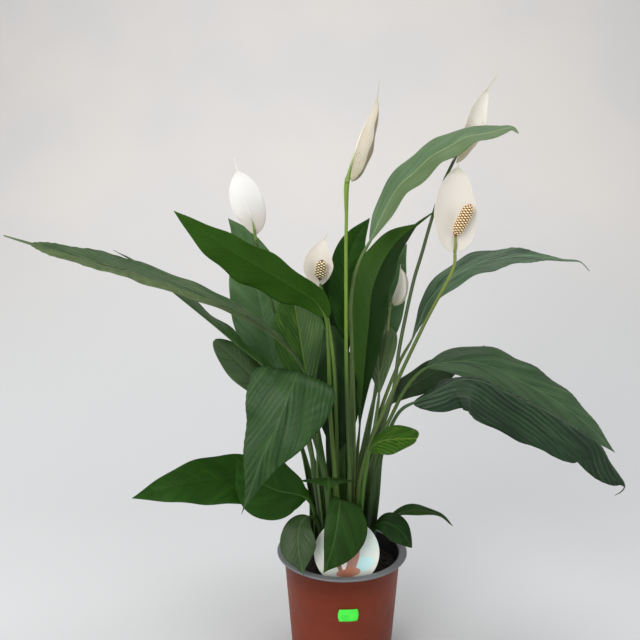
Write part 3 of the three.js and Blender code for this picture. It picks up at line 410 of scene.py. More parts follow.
class Tree:
    """Short ways to put nodes into a material. Colours are screen colours, 0 to 255, or sockets."""

    def __init__(self, name):
        self.material = bpy.data.materials.new(name)
        self.material.use_nodes = True
        self.tree = self.material.node_tree
        self.tree.nodes.clear()
        self.output = self.tree.nodes.new("ShaderNodeOutputMaterial")

    def add(self, kind, settings=(), **inputs):
        node = self.tree.nodes.new("ShaderNode" + kind)
        for key, value in dict(settings).items():
            setattr(node, key, value)
        for key, value in inputs.items():
            self.feed(node.inputs[key.replace("_", " ")], value)
        return node

    def feed(self, socket, value):
        if isinstance(value, bpy.types.NodeSocket):
            self.tree.links.new(value, socket)
        else:
            socket.default_value = value

    def math(self, operation, a, b=0.0):
        node = self.add("Math", dict(operation=operation))
        self.feed(node.inputs[0], a)
        self.feed(node.inputs[1], b)
        return node.outputs[0]

    def times(self, a, b):
        return self.math("MULTIPLY", a, b)

    def plus(self, a, b):
        return self.math("ADD", a, b)

    def minus(self, a, b):
        return self.math("SUBTRACT", a, b)

    def mix(self, share, a, b):
        node = self.add("Mix", dict(data_type="RGBA"), Factor=share)
        for socket, colour in ((node.inputs[6], a), (node.inputs[7], b)):
            self.feed(socket, colour if isinstance(colour, bpy.types.NodeSocket) else linear(colour))
        return node.outputs[2]

    def tint(self, colour, paint, share, strength):
        """The colour with paint over it, where share says, at strength at most."""
        return self.mix(self.times(share, strength), colour, paint)

    def smooth(self, value, low, high):
        """0 where value is low, 1 where it is high, and a soft step between."""
        node = self.add("MapRange", dict(interpolation_type="SMOOTHSTEP"), Value=value, From_Min=low,
                        From_Max=high)
        return node.outputs["Result"]

    def between(self, share, low, high):
        return self.add("MapRange", Value=share, To_Min=low, To_Max=high).outputs["Result"]

    def noise(self, scale, detail=3.0, vector=None):
        return self.add("TexNoise", Scale=scale, Detail=detail, Vector=vector or self.place()).outputs["Fac"]

    def place(self):
        return self.add("TexCoord").outputs["Object"]

    def parts(self, vector):
        return self.add("SeparateXYZ", Vector=vector).outputs

    def combine(self, x, y):
        return self.add("CombineXYZ", X=x, Y=y, Z=0.0).outputs[0]

    def values(self, name):
        """The three numbers of a mesh's attribute."""
        return self.parts(self.add("Attribute", dict(attribute_name=name)).outputs["Vector"])

    def value(self, name):
        return self.add("Attribute", dict(attribute_name=name)).outputs["Fac"]

    def bump(self, height, distance, strength):
        return self.add("Bump", Height=height, Distance=distance, Strength=strength).outputs["Normal"]

    def skin(self, colour, roughness, normal, **constants):
        node = self.add("BsdfPrincipled", Base_Color=colour, Roughness=roughness, Normal=normal, **constants)
        return node.outputs[0]

    def lit_through(self, skin, colour, share):
        """The skin, of which a share lets light through in a colour."""
        both = self.add("MixShader", Fac=share)
        self.feed(both.inputs[1], skin)
        self.feed(both.inputs[2], self.add("BsdfTranslucent", Color=colour).outputs[0])
        return both.outputs[0]

    def finish(self, shader):
        self.tree.links.new(shader, self.output.inputs["Surface"])
        return self.material


def leaf_material(name, look, halves):
    t = Tree(name)
    across, along, aside = t.values("blade")
    reach = t.math("ABSOLUTE", aside)
    # veins between the foot of the blade and this place
    run = t.minus(along, t.times(reach, look.slope))
    run = t.minus(run, t.times(t.times(reach, reach), VEIN_BEND))
    phase = t.plus(t.math("DIVIDE", run, look.spacing), t.times(t.noise(30), 1.1))
    # uneven swellings that follow the veins, and the thin lines of the veins themselves
    field = t.combine(phase, t.times(across, 1.3))
    swell = t.noise(0.55, 2, field)
    fine = t.noise(2.6, 3, field)
    wave = t.math("COSINE", t.times(phase, TURN))
    lines = t.times(t.smooth(wave, 0.86, 1.0), t.smooth(t.noise(22, 2), 0.3, 0.7))
    tone = t.smooth(t.plus(t.times(swell, 0.6), t.times(t.noise(12), 0.4)), 0.36, 0.62)
    colour = t.mix(tone, look.upper, look.deep)
    # painted light and shade: each half of the blade takes its own colour, lighter for a lit half, darker
    # for a shaded one
    for half, low, high in zip(halves, (0.04, -0.04), (-0.04, 0.04)):
        if half:
            colour = t.tint(colour, half[0], t.smooth(across, low, high), half[1])
    colour = t.tint(colour, look.vein, t.smooth(fine, 0.5, 0.72), look.lines * 0.5)
    colour = t.tint(colour, look.vein, lines, look.lines)
    # painted shade: the troughs between the veins are darkened
    if look.crease:
        crease_shade_mask = t.times(t.smooth(wave, -0.5, -1.0), t.smooth(t.noise(15, 2), 0.4, 0.6))
        crease_shade_mask = t.times(crease_shade_mask, t.smooth(reach, 1.0, 4.0))
        colour = t.tint(colour, scaled(look.deep, 0.62), crease_shade_mask, look.crease)
    colour = t.tint(colour, look.vein, t.smooth(reach, 1.5, 0.5), look.midrib)
    height = t.plus(t.times(fine, 0.5), t.times(swell, 1.6))
    height = t.plus(height, t.times(t.noise(900, 2), 0.15))
    normal = t.bump(height, 0.0012, 0.4 + look.lines * 0.6)
    rough = t.between(t.noise(60), look.rough - 0.06, look.rough + 0.08)
    skin = t.skin(colour, rough, normal, Specular_IOR_Level=look.sheen)
    glow = t.mix(t.smooth(fine, 0.45, 0.7), look.through, scaled(look.through, 0.8))
    return t.finish(t.lit_through(skin, glow, look.share))


def stem_material(name, colour, foot, reach=(20, 190), rib=None):
    """A stem: a darker foot near the soil (painted shade under the leaves), colour above, and rib, a colour
    and its start, under a blade.
    """
    t = Tree(name)
    turn, along, wing = t.values("stem")
    streak = t.noise(1.6, 4, t.combine(t.times(turn, 9), t.times(along, 0.02)))
    # painted shade: the stem darker toward the soil, under the leaves
    shade = t.mix(t.smooth(along, *reach), foot, colour)
    if rib:
        shade = t.mix(t.smooth(along, rib[1] - 12, rib[1] + 20), shade, rib[0])
    shade = t.tint(shade, scaled(colour, 0.62), t.smooth(streak, 0.42, 0.68), 0.55)
    paler = [min(255, c * 1.3 + 12) for c in colour]
    shade = t.tint(shade, paler, t.smooth(wing, 0.8, 1.0), 0.25)
    return t.finish(t.skin(shade, 0.48, t.bump(streak, 0.0004, 0.5), Specular_IOR_Level=0.3,
                           Subsurface_Weight=0.05, Subsurface_Radius=(0.002, 0.003, 0.001)))


def spathe_material(name, white, base, specks, tip_green):
    t = Tree(name)
    across, along, aside = t.values("blade")
    share = t.value("share")
    rib = t.noise(1.0, 3, t.combine(t.times(across, 16), t.times(along, 0.02)))
    colour = t.mix(t.smooth(share, 0.0, 0.45), base, white)
    colour = t.tint(colour, (216, 214, 190), t.smooth(rib, 0.5, 0.75), 0.22)
    colour = t.tint(colour, (170, 176, 120), t.smooth(share, 0.88, 1.0), tip_green)
    if specks:
        run = t.minus(along, t.times(t.math("ABSOLUTE", aside), 1.6))
        vein = t.math("COSINE", t.plus(t.times(run, 1.15), t.times(t.noise(90), 3)))
        vein = t.times(t.smooth(vein, 0.72, 1.0), t.smooth(share, 0.72, 0.5))
        vein = t.times(vein, t.smooth(t.noise(60, 2), 0.4, 0.55))
        colour = t.tint(colour, (158, 146, 118), vein, 0.45)
        blotch = t.times(t.smooth(t.noise(420, 2), 0.62, 0.7), t.smooth(share, 0.6, 0.1))
        colour = t.tint(colour, (150, 122, 84), blotch, 0.75)
    normal = t.bump(t.plus(rib, t.times(t.noise(700, 2), 0.2)), 0.0006, 0.5)
    return t.finish(t.lit_through(t.skin(colour, 0.5, normal), colour, 0.42))


def rib_material(name, green, white, reach):
    """The back rib of a spathe: the stem's green fading into the white."""
    t = Tree(name)
    fade = t.smooth(t.value("share"), reach * 0.2, reach)
    streak = t.smooth(t.noise(160), 0.4, 0.7)
    stem = t.mix(t.times(streak, 0.4), green, scaled(green, 0.75))
    return t.finish(t.skin(t.mix(fade, stem, white), 0.45, t.bump(t.noise(600, 2), 0.0003, 0.4)))


def spadix_material(name, top, crevice):
    t = Tree(name)
    colour = t.mix(t.smooth(t.value("knob"), 0.55, 0.85), crevice, top)
    colour = t.tint(colour, scaled(top, 0.8), t.smooth(t.noise(500), 0.5, 0.7), 0.35)
    return t.finish(t.skin(colour, 0.62, t.bump(t.noise(1500, 2), 0.0003, 0.4)))


# ---- spines and sections ------------

def unit(rows):
    return rows / np.linalg.norm(rows, axis=-1, keepdims=True)


def ease(value):
    value = np.clip(value, 0, 1)
    return value * value * (3 - 2 * value)


def steps_between(low, high, spacing):
    return np.linspace(low, high, max(2, int(math.ceil((high - low) / spacing)) + 1))


def curve_points(points, places):
    """Centripetal Catmull-Rom line through the points, at places from 0 to 1."""
    count = len(points)
    padded = np.vstack([2 * points[0] - points[1], points, 2 * points[-1] - points[-2]])
    spot = (count - 1) * np.clip(places, 0, 1)
    first = np.minimum(spot.astype(int), count - 2)
    weight = (spot - first)[:, None]
    p0, p1, p2, p3 = (padded[first + k] for k in range(4))
    a, b, c = (np.sqrt(np.linalg.norm(q - p, axis=1))[:, None] for p, q in ((p0, p1), (p1, p2), (p2, p3)))
    leave = ((p1 - p0) / a - (p2 - p0) / (a + b) + (p2 - p1) / b) * b
    enter = ((p2 - p1) / b - (p3 - p1) / (b + c) + (p3 - p2) / c) * b
    square = -3 * p1 + 3 * p2 - 2 * leave - enter
    cube = 2 * p1 - 2 * p2 + leave + enter
    return p1 + weight * (leave + weight * (square + weight * cube))


class Spine:
    """The line that a stem and its blade follow, from below the soil to the tip."""

    SAMPLES = 120  # between two points of the route
    STEP = 2e-5  # share of the line on either side that gives its direction

    def __init__(self, plant):
        x, y = plant.root
        bottom = SOIL_TOP - ROOT_DEPTH
        self.points = np.array([(x, y, bottom), (x, y, bottom + STRAIGHT), *plant.route], float)
        self.places = np.linspace(0, 1, self.SAMPLES * (len(self.points) - 1) + 1)
        line = curve_points(self.points, self.places)
        self.run = np.concatenate([[0], np.cumsum(np.linalg.norm(np.diff(line, axis=0), axis=1))])
        self.length = self.run[-1]

    def at(self, distance):
        distance = np.clip(np.asarray(distance, float), 0, self.length)
        here = np.interp(distance, self.run, self.places)
        ahead = curve_points(self.points, np.minimum(here + self.STEP, 1))
        ahead = ahead - curve_points(self.points, np.maximum(here - self.STEP, 0))
        return curve_points(self.points, here), unit(ahead)


def frames(line, face, start, distance):
    """Place, ahead, up out of the upper face, and right, at each distance along a spine."""
    place, ahead = line.at(distance)
    along = np.clip((distance - start) / (line.length - start), 0, 1)[:, None]
    up = np.array(face[0]) * (1 - along) + np.array(face[1]) * along
    up = unit(up - ahead * (up * ahead).sum(1, keepdims=True))
    return place, ahead, up, np.cross(ahead, up)


def outline(t, peak, fullness):
    """Half width of a blade, as a share of its widest, at a share t of its length."""
    rise = fullness * peak / (1 - peak)
    t = np.clip(t, 0, 1)
    return (t / peak) ** rise * ((1 - t) / (1 - peak)) ** fullness


class Shape:
    """Points, faces and values of one piece, gathered shell by shell."""

    def __init__(self):
        self.points, self.faces, self.kinds, self.values, self.count = [], [], [], {}, 0

    def loft(self, rings, kind=0, **values):
        """A closed shell through rings, rows by points by 3, whose points turn the same way.

        kind is the number of its material, for the whole shell or for each row of faces. Each of
        values has the same rows and points, and becomes an attribute for the materials.
        """
        rows, sides = rings.shape[:2]
        index = np.arange(rows * sides).reshape(rows, sides) + self.count
        after = np.roll(index, -1, axis=1)
        self.faces += np.stack([index[:-1], after[:-1], after[1:], index[1:]], -1).reshape(-1, 4).tolist()
        middle = self.count + rows * sides
        for a, b, centre in ((after[0], index[0], middle), (index[-1], after[-1], middle + 1)):
            self.faces += np.stack([a, b, np.full(sides, centre)], -1).tolist()
        kinds = np.broadcast_to(kind, rows - 1)
        self.kinds.append(np.repeat([*kinds, kinds[0], kinds[-1]], sides))

        def with_middles(grid):
            grid = np.asarray(grid, float).reshape(rows * sides, -1)
            return np.vstack([grid, grid[:sides].mean(0), grid[-sides:].mean(0)])

        self.points.append(with_middles(rings))
        for name, grid in values.items():
            self.values.setdefault(name, []).append((self.count, with_middles(grid)))
        self.count = middle + 2

    def stem(self, line, face, start, distance, radius, sunk, kind=0, wing=0.0, groove=0.0, **values):
        """A round shell that lies sunk under a spine, with the wings and the hollow of a sheath."""
        place, _, up, right = frames(line, face, start, distance)
        place = place - up * np.reshape(sunk, (-1, 1))
        radius = radius[:, None]
        wing, groove = np.reshape(wing, (-1, 1)), np.reshape(groove, (-1, 1))
        turn = np.arange(STEM_SIDES) / STEM_SIDES
        angle = math.pi - (turn + 0.5 / STEM_SIDES) * TURN
        across, high = np.cos(angle)[None], np.sin(angle)[None]
        high = high * (1 - groove * np.exp(-(across / GROOVE_WIDTH) ** 2) * (high > 0))
        high = (high + across ** 2 * SHEATH_CURL * wing) * radius
        wide = across * radius * (1 + SHEATH * wing)
        rings = place[:, None] + right[:, None] * wide[..., None] + up[:, None] * high[..., None]
        grid = np.stack(np.broadcast_arrays(turn[None], distance[:, None], np.abs(across) * wing), -1)
        self.loft(rings, kind, stem=grid, **values)

    def thing(self, name, materials=(), smooth=True):
        mesh = bpy.data.meshes.new(name)
        mesh.from_pydata((np.vstack(self.points) * MM).tolist(), [], self.faces)
        mesh.polygons.foreach_set("material_index", np.concatenate(self.kinds).astype(np.int32))
        mesh.polygons.foreach_set("use_smooth", np.full(len(self.faces), smooth))
        for key, blocks in self.values.items():
            wide = blocks[0][1].shape[1]
            whole = np.zeros((self.count, wide))
            for start, block in blocks:
                whole[start:start + len(block)] = block
            kind, field = ("FLOAT_VECTOR", "vector") if wide == 3 else ("FLOAT", "value")
            layer = mesh.attributes.new(key, kind, "POINT")
            layer.data.foreach_set(field, whole.ravel().astype(np.float32))
        for material in materials:
            mesh.materials.append(material)
        mesh.update()
        return add_object(name, mesh)

    def piece(self, node, materials, smooth=True):
        """The object, riding on the plant and standing for a node of the solids."""
        thing = self.thing(node + "_fine", materials, smooth)
        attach(thing, "root")
        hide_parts(node)
        return thing


def add_object(name, data):
    thing = bpy.data.objects.new(name, data)
    bpy.context.scene.collection.objects.link(thing)
    return thing


def blade_rings(line, blade, start, look, groove_depth):
    """Closed sections of a blade, upper side and then lower, with its values for the materials."""
    spread = np.linspace(-1, 1, blade.columns)
    across = np.sign(spread) * np.abs(spread) ** COLUMN_POWER
    distance = steps_between(start + BLADE_INSET, line.length - blade.short, blade.row)
    whole = line.length - start
    station = (distance - start) / whole * round(whole / blade.station)
    t = (distance - start) / (whole - blade.thread)
    widest = blade.width / 2
    half = np.where(t < 1, widest * outline(t, blade.peak, blade.fullness), 0)
    beyond = np.clip((t[-1] - t) / max(t[-1] - 1, 1e-6), 0, 1) * (t[-1] > 1) * (t > 0.8)
    half = np.maximum(half, blade.tip * (1 + 2 * beyond))
    lobe = blade.lobe * np.maximum(0, 1 - t / blade.peak) ** 2
    size = np.abs(across)[None]
    side = np.sign(across)[None]
    h = half[:, None] * np.where(side < 0, *blade.halves)
    out = h * size
    slant = blade.slant * out - lobe[:, None] * size ** LOBE_CURVE
    spot = np.clip(distance[:, None] + slant, 0, line.length)
    place, _, up, right = (a.reshape(*spot.shape, 3)
                           for a in frames(line, blade.face, start, spot.ravel()))
    # the section: each half curls by wrap and is raised by fold, and its edge waves
    curl = np.clip(math.radians(blade.wrap), -h / TIGHTEST, h / TIGHTEST)
    wrap = np.where(size == 0, 1e-6, curl * size)
    reach = out * np.sin(wrap) / wrap
    lift = out * (1 - np.cos(wrap)) / wrap
    fold = math.radians(blade.fold) * np.minimum(1, h / FLAT_UNDER)
    wave = blade.wave * np.sin(station[:, None] * WAVE_TURN + side) * size ** 2 * h / widest
    # the skin swells between its side veins, less beside the midrib, at the edge and in the tip
    run = spot - start
    phase = (run - look.slope * out - VEIN_BEND * out ** 2) / look.spacing
    calm = np.clip(out / SMOOTH_MIDDLE, 0, 1) * np.clip(h / SMOOTH_TIP, 0, 1) * (1 - 0.6 * size ** 4)
    uneven = 0.55 + 0.45 * np.sin(phase * 1.7 + side * 2) * np.sin(phase * 0.6 + 1)
    ridge = look.ridge * np.cos(TURN * phase) * calm * uneven
    groove = -groove_depth * np.exp(-(out / GROOVE_HALF) ** 2) * np.clip(1.1 - t, 0, 1)[:, None]
    aside = side * (reach * np.cos(fold) - lift * np.sin(fold))
    high = reach * np.sin(fold) + lift * np.cos(fold) + wave
    tilt = side * (fold + wrap)
    edge = blade.thick * (1 - EDGE_THINNER * size ** 3) / 2
    rings = []
    for sign in (1, -1):
        off = sign * edge + ridge + groove
        rows = (place + right * (aside - np.sin(tilt) * off)[..., None]
                + up * (high + np.cos(tilt) * off)[..., None])
        rings.append(rows[:, ::sign])
    grids = (np.stack([np.broadcast_to(across, run.shape), run, out * side], -1),
             np.broadcast_to(t[:, None], run.shape))
    values, share = (np.concatenate([grid, grid[:, ::-1]], 1) for grid in grids)
    return np.concatenate(rings, 1), dict(blade=values, share=share)


# ---- leaves ------------

def leaf_piece(leaf):
    name, look = "leaf_" + leaf.name, LOOKS[leaf.look]
    line = Spine(leaf)
    start = line.length - leaf.blade
    shape = Shape()
    rings, values = blade_rings(line, leaf, start, look, MIDRIB_GROOVE * leaf.rib)
    shape.loft(rings, **values)
    # the stem runs on under the blade as its midrib
    distance = np.concatenate([steps_between(0, start - 6, STEM_ROW),
                               steps_between(start, line.length - 1, STEM_ROW)])
    below = np.clip((distance - STRAIGHT) / (start - STRAIGHT), 0, 1)
    t = np.clip((distance - start) / leaf.blade, 0, 1)
    under = ease((distance - start + RIB_BLEND) / (2 * RIB_BLEND))
    stem_radius = PETIOLE_BASE + (PETIOLE_TOP - PETIOLE_BASE) * below
    radius = stem_radius * (1 - under) + RIB_RADIUS * leaf.rib * (1 - RIB_TAPER * t) * under
    wing = ease((leaf.sheath - below) / SHEATH_FADE) * (1 - under)
    groove = (STEM_GROOVE + SHEATH_HOLLOW * wing) * (1 - under)
    shape.stem(line, leaf.face, start, distance, radius, radius * RIB_SUNK * under, 1, wing, groove)
    colour = leaf.petiole or blend(look.upper, *STEM_GREEN)
    foot = blend(look.deep, *FOOT_GREEN)
    rib = (blend(look.upper, look.vein, 0.3), start)
    shape.piece(name, [leaf_material(name + "_blade", look, leaf.paint),
                               stem_material(name + "_petiole", colour, foot, rib=rib)])


# ---- blooms ------------

def bloom_pieces(bloom):
    name, face, neck, flare = "bloom_" + bloom.name, bloom.face, bloom.neck, bloom.flare
    line = Spine(bloom)
    joint = line.length - bloom.spathe - bloom.thread
    start = joint + neck
    length = bloom.spathe - neck

    def behind(distance, radius):
        """How far the stalk lies under the spine, to run up the back of the spathe."""
        return radius * STALK_SUNK * ease((distance - joint + FLARE_LENGTH) / (FLARE_LENGTH + neck))

    # the stem, up to the joint under the spathe
    distance = steps_between(0, joint, STEM_ROW)
    share = np.clip((distance - STRAIGHT) / (joint - STRAIGHT), 0, 1)
    radius = STALK_BASE + (STALK_TOP - STALK_BASE) * share
    radius = radius * (1 + (flare - 1) * ease((distance - joint + FLARE_LENGTH) / FLARE_LENGTH))
    stem = Shape()
    stem.stem(line, face, joint, distance, radius, behind(distance, radius))
    stem.piece(name + "_stem", [stem_material(name + "_stalk", *bloom.stalk)])
    # the spathe, with the neck running up its back as a rib
    spathe = Shape()
    rings, values = blade_rings(line, bloom, start, PLAIN, SPATHE_GROOVE)
    spathe.loft(rings, **values)
    reach = bloom.rib
    distance = np.concatenate([steps_between(joint + 0.3, start - 1, 2),
                               steps_between(start, start + length * reach, 3)])
    t = np.clip((distance - start) / length, 0, 1)
    radius = STALK_TOP * flare * (1 - 0.9 * np.sqrt(t / reach))
    spathe.stem(line, face, joint, distance, radius, behind(distance, radius), 1,
                share=np.repeat(t, STEM_SIDES))
    spathe.piece(name + "_spathe",
                 [spathe_material(name + "_white", *bloom.white),
                  rib_material(name + "_rib", bloom.stalk[0], bloom.white[0], bloom.green)])
    if bloom.spadix:
        spadix_piece(name, bloom, line, start)


def spadix_piece(name, bloom, line, start):
    """Club whose florets stand in spirals: domes on a diamond lattice."""
    length, radius = bloom.spadix
    face, foot, (aside, forward) = bloom.face, bloom.foot, bloom.lean
    place, ahead, up, right = (a[0] for a in frames(line, face, start, np.array([start + foot])))
    along = unit(ahead + aside * right + forward * up)
    high = unit(up - along * (up @ along))
    side = np.cross(along, high)
    base = place + up * (radius + CLUB_OFF) + ahead * SPADIX_STEP
    seat = place + up * (SPADIX_SEAT + SPADIX_STEM)
    rows, sides = SPADIX_GRID
    turns = math.pi - (np.arange(sides) + 0.5) / sides * TURN
    spokes = side[None] * np.cos(turns)[:, None] + high[None] * np.sin(turns)[:, None]
    t = np.linspace(0, 1, rows)
    body = radius * np.minimum(1, np.minimum(0.55 + t * 3, np.sqrt(np.maximum(1.05 - t, 0)) * 2.2)) - 0.2
    body[-1] = min(body[-1], radius * 0.4)
    lanes = 2 * round(math.pi * radius / FLORET_SIZE)
    u = (turns / TURN)[None] * lanes
    v = (t * length)[:, None] / (FLORET_SIZE * 0.5)
    off_lattice = sum((a - np.round(a)) ** 2 for a in ((u + v) / 2, (u - v) / 2))
    dome = np.sqrt(np.clip(1 - 4.2 * off_lattice, 0, 1))
    skin = body[:, None] + FLORET_HEIGHT * (dome - FLORET_SUNK)
    centre = base + along * (t * length)[:, None]
    rings = np.concatenate([
        (seat + spokes * SPADIX_STEM)[None],
        centre[:, None] + spokes[None] * skin[..., None],
        (base + along * (length + radius * 0.25) + spokes * 0.8)[None]])
    club = Shape()
    club.loft(rings, knob=np.vstack([np.zeros(sides), dome, np.full(sides, 0.5)]))
    materials = [spadix_material(name + "_club", *bloom.club)]
    if foot > SPADIX_FOOT:
        # the stalk, running up the face of the spathe to the foot of the club
        distance = steps_between(start - FOOT_BELOW, start + foot, 1.5)
        rise = ease((distance - start + FOOT_BELOW) / 9)
        club.stem(line, face, start, distance, STALK_TOP * (0.95 - 0.15 * rise), -FOOT_RISE * rise, 1)
        materials.append(stem_material(name + "_stalk_end", *bloom.stalk))
    club.piece(name + "_spadix", materials)


# ---- pot ------------

POT_SEGMENTS = 144
WALL_SLOPE = (NECK_RADIUS - BASE_RADIUS) / (POT_HEIGHT - RIM_THICKNESS)
CORNER_STEPS = 4
MID_HEIGHT = 70  # where the long walls have one more point
# colour, darker mottling, dust, colour toward the rim, roughness. On the terracotta the colour toward
# the rim is lighter: painted light against the shadow that the leaves cast on the pot.
PLASTICS = {
    "pot_terracotta": ((106, 42, 22), (98, 38, 20), (126, 76, 54), (134, 55, 30), 0.46),
    "pot_rim": ((108, 111, 114), (94, 98, 101), (160, 162, 164), (100, 103, 106), 0.4),
    "pot_inside": ((26, 26, 28), (18, 18, 20), (66, 62, 58), (24, 24, 26), 0.5),
}


def outer_radius(z):
    return BASE_RADIUS + WALL_SLOPE * z


def inner_radius(z):
    return outer_radius(z) - WALL


def lathe_rings(profile, segments):
    """Rings of a turned body, from the outline's first point to its last."""
    turn = np.arange(segments) / segments * TURN
    return np.array([np.stack([r * np.cos(turn), r * np.sin(turn), np.full(segments, z)], -1)
                     for r, z in profile])


def rounded(profile, radius):
    """A profile with its corners rounded off."""
    points = [np.array(p, float) for p in profile]
    out = [points[0]]
    for before, here, after in zip(points, points[1:], points[2:]):
        lead, leave = before - here, after - here
        size = min(radius, np.linalg.norm(lead) * 0.45, np.linalg.norm(leave) * 0.45)
        a, b = here + unit(lead) * size, here + unit(leave) * size
        for s in np.arange(CORNER_STEPS + 1) / CORNER_STEPS:
            out.append((1 - s) ** 2 * a + 2 * s * (1 - s) * here + s * s * b)
    return out + [points[-1]]


def plastic_material(name, colour, dark, dusty, painted_light_top, roughness):
    """Thin moulded plastic with faint scuffs, dust and a little mottling."""
    t = Tree(name)
    base = t.mix(t.smooth(t.noise(18, 4), 0.3, 0.7), colour, dark)
    high = t.parts(t.place())[2]
    brushed = t.add("Mapping", Vector=t.place(), Scale=Vector((40, 40, 900))).outputs[0]
    scuff = t.smooth(t.noise(1.0, 2, brushed), 0.56, 0.72)
    base = t.tint(base, dusty, scuff, 0.1)
    base = t.tint(base, dusty, t.smooth(t.noise(260, 2), 0.64, 0.74), 0.16)
    # darker in the lowest 20 mm of the pot
    base = t.tint(base, dark, t.smooth(high, 0.02, 0.0), 0.3)
    # painted light: toward the rim the pot takes a lighter colour, against the leaves' shadow on it
    base = t.mix(t.smooth(high, 0.08, 0.125), base, painted_light_top)
    rough = t.between(t.noise(70), roughness - 0.06, roughness + 0.1)
    normal = t.bump(t.plus(t.noise(1200, 2), t.times(scuff, 0.6)), 0.0002, 0.35)
    return t.finish(t.skin(base, rough, normal, Specular_IOR_Level=0.2))


def pot_piece():
    under = POT_HEIGHT - RIM_THICKNESS
    ring_inside = BASE_RADIUS - FOOT_WIDTH
    outside = rounded([(HUB_RADIUS - 6, 0), (HUB_RADIUS, 0), (HUB_RADIUS + 3, FLOOR_LIFT),
                       (ring_inside - 3, FLOOR_LIFT), (ring_inside, 0), (BASE_RADIUS - 1.5, 0),
                       (outer_radius(1.5), 1.5), (outer_radius(MID_HEIGHT), MID_HEIGHT),
                       (NECK_RADIUS, under)], 1.2)
    rim = rounded([(NECK_RADIUS, under), (NECK_RADIUS + 0.1, under - 0.6), (RIM_RADIUS - 1.4, under - 0.4),
                   (RIM_RADIUS, under + 0.6), (RIM_RADIUS - 0.3, POT_HEIGHT - 0.5),
                   (RIM_RADIUS - 3, POT_HEIGHT), (inner_radius(POT_HEIGHT) + 2.5, POT_HEIGHT),
                   (inner_radius(POT_HEIGHT - 2), POT_HEIGHT - 2.2)], 1.1)
    inside = rounded([(inner_radius(POT_HEIGHT - 3), POT_HEIGHT - 3), (inner_radius(MID_HEIGHT), MID_HEIGHT),
                      (inner_radius(WALL), WALL), (ring_inside + 1, WALL),
                      (ring_inside - 2, FLOOR_LIFT + WALL), (HUB_RADIUS + 2, FLOOR_LIFT + WALL),
                      (HUB_RADIUS - 1, WALL), (HUB_RADIUS - 8, WALL)], 1.2)
    kinds = np.repeat([0, 1, 2], [len(outside) - 1, len(rim) - 1, len(inside)])
    shape = Shape()
    shape.loft(lathe_rings(outside + rim[1:] + inside, POT_SEGMENTS), kinds)
    pot = shape.piece("pot", [plastic_material(name, *look) for name, look in PLASTICS.items()])
    drains = Shape()
    for turn in np.arange(DRAIN_HOLES) / DRAIN_HOLES * TURN:
        centre = np.array([DRAIN_CIRCLE * math.cos(turn), DRAIN_CIRCLE * math.sin(turn), 0])
        drains.loft(lathe_rings([(DRAIN_RADIUS, -10), (DRAIN_RADIUS, 12)], 24) + centre)
    cutter = drains.thing("drain_cutter")
    cut = pot.modifiers.new("drains", "BOOLEAN")
    cut.object, cut.operation, cut.solver = cutter, "DIFFERENCE", "EXACT"
    graph = bpy.context.evaluated_depsgraph_get()
    pot.data = bpy.data.meshes.new_from_object(pot.evaluated_get(graph))
    pot.modifiers.clear()
    bpy.data.objects.remove(cutter)


# ---- soil ------------

SOIL_CLEAR = 0.5  # air between the soil and the pot
SOIL_SEGMENTS = 150
SOIL_RINGS = 62
SOIL_WAVES = 26
CRUMBS = 520
CRUMB_SIDES = 7


def lumps(x, y, waves):
    """A lumpy height from a fixed set of waves, between about -1 and 1."""
    return sum(size * np.sin(kx * x + ky * y + phase) for size, kx, ky, phase in waves)


def soil_material():
    t = Tree("soil_mix")
    colour = t.mix(t.smooth(t.noise(240, 6), 0.35, 0.7), (18, 14, 12), (40, 30, 24))
    colour = t.tint(colour, (84, 66, 50), t.smooth(t.noise(520, 1), 0.68, 0.74), 0.5)
    return t.finish(t.skin(colour, 0.95, t.bump(t.noise(420, 6), 0.002, 1.0)))


def crumb_rings(rng, stretch, twist, centre):
    """Rings of an uneven round crumb."""
    angle = np.arange(CRUMB_SIDES) / CRUMB_SIDES * TURN
    c, s = math.cos(twist), math.sin(twist)
    rings = []
    for lift in (-0.75, -0.3, 0.3, 0.75):
        wide = math.sqrt(1 - lift * lift)
        ring = np.stack([np.cos(angle) * wide, np.sin(angle) * wide, np.full(CRUMB_SIDES, lift)], -1)
        x, y, z = (ring * stretch * rng.uniform(0.8, 1.15, (CRUMB_SIDES, 1))).T
        rings.append(np.stack([x * c - y * s, x * s + y * c, z], -1) + centre)
    return np.array(rings)


def soil_piece():
    rng = np.random.default_rng(7)
    waves = [(0.9 / (k + 1.5), *rng.normal(0, 0.09 * (k + 1), 2), rng.uniform(0, 6.28))
             for k in range(SOIL_WAVES)]
    side = inner_radius(SOIL_TOP) - SOIL_CLEAR
    rings = lathe_rings([(inner_radius(8) - SOIL_CLEAR, 8.0), (side, SOIL_TOP - 1.5),
                         *((radius, 0.0) for radius in np.linspace(side - 0.5, 1.0, SOIL_RINGS))],
                        SOIL_SEGMENTS)
    x, y = rings[2:, :, 0], rings[2:, :, 1]
    height = lumps(x, y, waves) + 0.5 * np.sin(x * 1.9) * np.cos(y * 1.7)
    rings[2:, :, 2] = SOIL_TOP - 1.2 + np.minimum(height, 1.6)
    shape = Shape()
    shape.loft(rings)
    # crumbs of bark and peat on top
    for _ in range(CRUMBS):
        radius, turn = side * 0.97 * math.sqrt(rng.uniform(0, 1)), rng.uniform(0, 6.28)
        x, y = radius * math.cos(turn), radius * math.sin(turn)
        size = rng.uniform(0.8, 2.4) * (1.6 if rng.uniform() < 0.12 else 1)
        stretch = np.array([1.0, rng.uniform(0.5, 1), rng.uniform(0.3, 0.6)]) * size
        twist = rng.uniform(0, 3.14)
        if radius + size > side:
            continue
        base = SOIL_TOP - 1.0 + min(lumps(x, y, waves), 1.2)
        shape.loft(crumb_rings(rng, stretch, twist, [x, y, base + stretch[2] * 0.3]))
    shape.piece("soil", [soil_material()])


# ---- label and sticker ------------

STICKER_GRID = (41, 13)
CARD_BEVEL = 0.2
CARD_INSET = 0.25
STAKE_POINT = 8  # length of its pointed end
